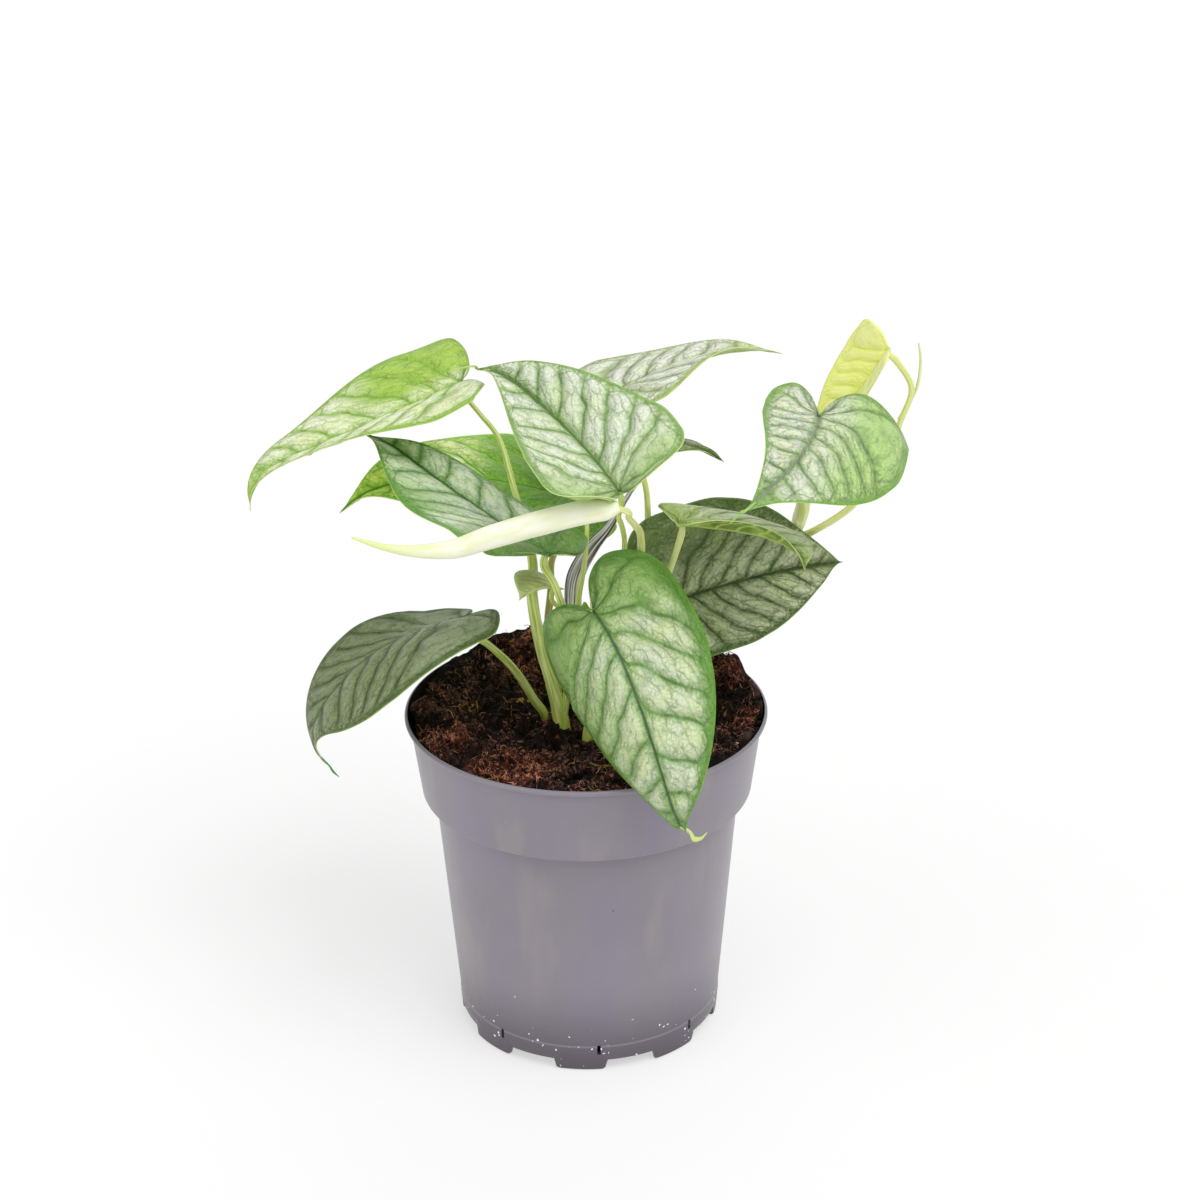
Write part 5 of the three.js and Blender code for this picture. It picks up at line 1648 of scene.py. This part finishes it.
def closed_tube(grid):
    """Points and triangles of a tube with a flat cap at each end."""
    rows, around = grid.shape[:2]
    ends = np.stack([grid[0].mean(0), grid[-1].mean(0)])
    points = np.concatenate([grid.reshape(-1, 3), ends])
    first, last = np.arange(around), np.arange(around) + (rows - 1) * around
    start = np.stack([np.full(around, rows * around), np.roll(first, -1), first], 1)
    finish = np.stack([np.full(around, rows * around + 1), last, np.roll(last, -1)], 1)
    return points, np.vstack([grid_triangles(rows, around, around=True), start, finish])


print("tube of 5 by 8 points:", len(closed_tube(np.zeros((5, 8, 3)))[1]), "triangles")


# %% Stems
def petiole_end(leaf, last):
    """Last three points: a bend halfway between the stalk's own direction and the blade's, then
    straight up to the blade's underside, and just into it."""
    along, up, across = (direction[0] for direction in midrib_frame(leaf, np.zeros(1)))
    right, left = np.radians(leaf["fold"])
    out = up * (np.cos(right) + np.cos(left)) + across * (np.sin(left) - np.sin(right))
    out = out / np.linalg.norm(out)
    end = np.array(leaf["base"]) + 1.2 * along
    stretch, bend = min(1.5, 0.08 * leaf["length"]), min(2.5, 0.13 * leaf["length"])
    corner, top = end - out * (stretch + 0.4), end - out * 0.3
    own = (corner - last[:3]) / np.linalg.norm(corner - last[:3])
    early = corner - bend * (own + out) / np.linalg.norm(own + out)
    return [(*place, last[3]) for place in (early, corner, top)]


def full_route(route):
    """Route with its end under the blade, or at the mouth of the rolled leaf."""
    last = route["points"][-1]
    if route["blade"] in LEAVES:
        return route["points"] + petiole_end(LEAVES[route["blade"]], last)
    x, y, z, _ = ROLLED["points"][0]
    return route["points"] + [(x + 2.6, y + 1.5, z - 2.4, last[3]), (x - 1, y, z - 0.1, 0.8 * last[3])]


def make_shoot(name, routes, sides=16):
    """All stalks of a shoot in one mesh. The section has a shallow groove, and each stalk swells a
    little just below its blade, where a petiole bends."""
    angle = 2 * np.pi * np.arange(sides) / sides
    reach = 1 - 0.12 * np.exp(-((angle - np.pi / 2) / 0.45) ** 2)
    section = np.stack([reach * np.cos(angle), reach * np.sin(angle)], -1)[None]
    points, triangles, values, kinds = [], [], [], []
    tints = {"plain": 0, "red": 1, "pale": 2}
    for route in routes:
        path, radius, length = stalk_path(full_route(route))
        left = length[-1] - length
        swelling = 0.15 * np.exp(-((left - 4) / 3.5) ** 2) - 0.25 * smooth_step(2.5, 0, left)
        radius = radius * (1 + swelling * (route["blade"] in LEAVES))
        grid = stalk_grid(path, radius, section)
        grid = grid + 0.05 * lattice_noise(grid, 4, 21)[..., None]
        corners, faces = closed_tube(grid)
        along = np.concatenate([np.repeat(length, sides), [0, length[-1]]])
        round_it = np.concatenate([np.tile(angle, len(path)), [0, 0]])
        faces = faces + sum(map(len, points))
        points.append(corners)
        triangles.append(faces)
        values.append(np.stack([along, round_it, 0 * along], -1))
        kinds.append(np.full(len(faces), tints[route["tint"]]))
    joined = np.concatenate(points), np.concatenate(triangles)
    piece = make_piece("stalks_" + name, *joined, {"stalk": np.concatenate(values)}, np.concatenate(kinds))
    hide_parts(name)
    return piece


stems = {name: make_shoot(name, routes) for name, routes in SHOOTS.items()}
print("stems:", sum(len(piece.data.polygons) for piece in stems.values()), "triangles")

# %% [markdown]
# ## Finish of the stems
#
# A petiole is smooth and waxy, with fine streaks along it, greener above and yellower at the
# sheath. Streaks follow the stalk, so the pattern reads the distance along it and the angle round
# it that are kept on the points.

# %% Stem finish
def stem_skin(name, green, yellow, foot):
    """Waxy stem: streaks about 17 mm long and half a radian wide, and the foot's colour low down."""
    settings = {"Roughness": 0.38, "Subsurface Weight": 0.1, "Subsurface Scale": 1 * MM}
    material, tree, shader = new_finish(name, settings)
    stalk = add(tree, "Attribute", {"attribute_name": "stalk"})["Vector"]
    stretched = add(tree, "VectorMath", TIMES, (stalk, (0.06, 2.2, 0.0)))[0]
    streak = add(tree, "TexNoise", {}, {"Vector": stretched, "Scale": 1.0, "Detail": 4.0})[0]
    place = add(tree, "TexCoord")["Object"]
    height = add(tree, "SeparateXYZ", {}, [place])["Z"]
    colour = painted(tree, linear(green), [
        (streak, 0.35, 0.65, 0.0, 1.0, yellow),
        (height, 104 * MM, 122 * MM, 0.85, 0.0, foot),
    ])
    dress(tree, shader, colour, streak, 0.25, 0.15)
    return material


stem_finishes = [
    stem_skin("waxy_green_stem", "#a8c03c", "#f0f8a8", "#ccdc58"),
    stem_skin("waxy_red_stem", "#a4b048", "#ac8a5c", "#b4ac54"),
    stem_skin("waxy_pale_stem", "#d2dc7c", "#eef0b4", "#c4d070"),
]
for piece in stems.values():
    for finish in stem_finishes:
        piece.data.materials.append(finish)
print("stem materials:", [finish.name for finish in stem_finishes])

# %% [markdown]
# ## The rolled leaf and the dried bract
#
# The newest leaf is still rolled round itself: a spindle whose section is one turn of a spiral, with
# the free edge lying along its side. The bract that once wrapped a leaf has dried to a thin striped
# strip between the stems.

# %% Rolled leaf
def make_rolled(sides=72):
    """Spiral section r = 1 - overlap + overlap x turn, carried along the spindle. The step at the end
    of the turn is the free edge of the leaf."""
    path, radius, length = stalk_path(ROLLED["points"])
    share = np.linspace(0, 1, sides)
    twist = 0.5 * length[:, None] / length[-1]
    angle = 2 * np.pi * share * 0.992 + twist + 0.9
    reach = 1 - ROLLED["overlap"] + ROLLED["overlap"] * share ** 2 + 0 * twist
    section = np.stack([reach * np.cos(angle), reach * np.sin(angle)], -1)
    grid = stalk_grid(path, radius, section)
    points, triangles = closed_tube(grid)
    along = np.concatenate([np.repeat(length, sides), [0, length[-1]]])
    around = np.concatenate([np.tile(share, len(path)), [0, 0]])
    values = {"stalk": np.stack([along, around, 0 * along], -1)}
    piece = make_piece("rolled_young_leaf", points, triangles, values, sharp=50)
    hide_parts("leaf_rolled")
    return piece


def rolled_skin():
    """Soft new leaf, cream with a yellow-green tip and faint lines of the veins inside the roll."""
    settings = {"Roughness": 0.45, "Subsurface Weight": 0.2, "Subsurface Scale": 1.5 * MM}
    material, tree, shader = new_finish("soft_cream_leaf", settings)
    stalk = add(tree, "Attribute", {"attribute_name": "stalk"})["Vector"]
    along, _, _ = add(tree, "SeparateXYZ", {}, [stalk])
    slanted = add(tree, "VectorMath", TIMES, (stalk, (0.12, 9.0, 0.0)))[0]
    lines = add(tree, "TexNoise", {}, {"Vector": slanted, "Scale": 1.0, "Detail": 3.0})[0]
    colour = painted(tree, linear("#fbfbe8"), [
        (lines, 0.35, 0.75, 0.0, 1.0, "#edf2c4"),
        (along, 45.0, 84.0, 0.0, 0.8, "#d9e88a"),
    ])
    dress(tree, shader, colour)
    return material


rolled = make_rolled()
rolled.data.materials.append(rolled_skin())
print("rolled leaf:", len(rolled.data.polygons), "triangles")

# %% Dried bract
def make_bract(sides=40):
    """Lens section with a fine ripple, so that the fibres of the dry strip stand out."""
    path, radius, length = stalk_path(BRACT["points"])
    angle = 2 * np.pi * np.arange(sides) / sides
    ripple = 1 + 0.12 * np.sin(10 * angle) * np.abs(np.sin(angle))
    section = np.stack([np.cos(angle), BRACT["flatness"] * np.sin(angle) * ripple], -1)[None]
    grid = stalk_grid(path, radius, section)
    points, triangles = closed_tube(grid)
    along = np.concatenate([np.repeat(length, sides), [0, length[-1]]])
    across = np.concatenate([np.tile(np.cos(angle), len(path)), [0, 0]])
    values = {"stalk": np.stack([along, across, 0 * along], -1)}
    piece = make_piece("dried_sheath", points, triangles, values)
    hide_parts("dried_bract")
    return piece


def dry_skin():
    """Papery dry sheath: grey-violet with pale fibres along it."""
    material, tree, shader = new_finish("papery_dry_sheath", {"Roughness": 0.75})
    stalk = add(tree, "Attribute", {"attribute_name": "stalk"})["Vector"]
    stretched = add(tree, "VectorMath", TIMES, (stalk, (0.03, 5.0, 0.0)))[0]
    fibre = add(tree, "TexNoise", {}, {"Vector": stretched, "Scale": 1.0, "Detail": 5.0})[0]
    colour = painted(tree, linear("#5c5256"), [(fibre, 0.4, 0.62, 0.0, 1.0, "#fbf8f8")])
    dress(tree, shader, colour, fibre, 0.5, 0.2)
    return material


bract = make_bract()
bract.data.materials.append(dry_skin())
print("dried sheath:", len(bract.data.polygons), "triangles")

# %% [markdown]
# ### Drip tips, a filament and a side bud
#
# Several blades end in a thin tail that sheds water: one curls into a hook, one runs out as a
# thread. Each is a flattened tube that starts inside the tip of its blade. A pale filament hangs
# beside the unfurling leaf, and a small bud stands on the middle shoot. Both are made the same way,
# along points of their own.

# %% Drip tips
TAILS = [
    {
        "blade": "blade_front", "flat": 0.35, "skin": "#cfe08a",
        "points": [(33.6, -64.4, 99.2, 0.9), (35.6, -64, 99.1, 0.8), (37.6, -63.6, 101, 0.2)],
    },
    {
        "blade": "blade_top_centre", "flat": 0.6, "skin": "#b9d07a",
        "points": [(-35, 29.4, 222.6, 0.55), (-39, 28.6, 222.3, 0.45), (-43.5, 28, 221.3, 0.2)],
    },
    {
        "blade": "blade_right_heart", "flat": 0.5, "skin": "#9cc667",
        "points": [(47, -70.6, 212.2, 0.8), (43.3, -72, 208.9, 0.2)],
    },
    {
        "blade": "blade_low_left", "flat": 0.3, "skin": "#5fae44",
        "points": [(-81.4, -29.5, 105.6, 0.9), (-79.6, -31, 104.6, 0.2)],
    },
]
BUD = [(3.4, -29, 151, 0.9), (1.8, -27, 155.5, 2), (0.4, -25.5, 160, 2.5), (0.2, -25, 162.8, 0.5)]
FILAMENT = [(108.9, 29, 229, 0.3), (110, 31, 222, 0.5), (109, 32, 212, 0.55), (103.8, 35, 200.7, 0.3)]


def blade_tip(leaf):
    """The place of the tip, and one a twelfth of the midrib behind it."""
    at = np.array([[1.0], [0.96]])
    return leaf_place(leaf, 1, at, np.zeros((2, 1)))[0][:, 0]


def make_tail(name, points, flat, colour, sides=10):
    """Flattened tube along the points, closed at both ends."""
    path, radius, length = stalk_path(points, step=0.5)
    angle = 2 * np.pi * np.arange(sides) / sides
    section = np.stack([np.cos(angle), flat * np.sin(angle)], -1)[None]
    piece = make_piece(name, *closed_tube(stalk_grid(path, radius, section)))
    skin = {"Base Color": linear(colour), "Roughness": 0.45, "Subsurface Weight": 0.1,
            "Subsurface Scale": 1 * MM}
    piece.data.materials.append(new_finish("waxy_" + name, skin)[0])
    return piece


tails = []
for tail in TAILS:
    tip, behind = blade_tip(LEAVES[tail["blade"]])
    start = [(*behind, 0.5), (*tip, 0.6)]
    name = tail["blade"].replace("blade", "drip_tip")
    tails.append(make_tail(name, start + tail["points"], tail["flat"], tail["skin"]))
tails.append(make_tail("pale_filament", FILAMENT, 1.0, "#dfe8ae"))
tails.append(make_tail("side_bud", BUD, 0.6, "#9cc23c"))
print("tails:", [tail.name for tail in tails])
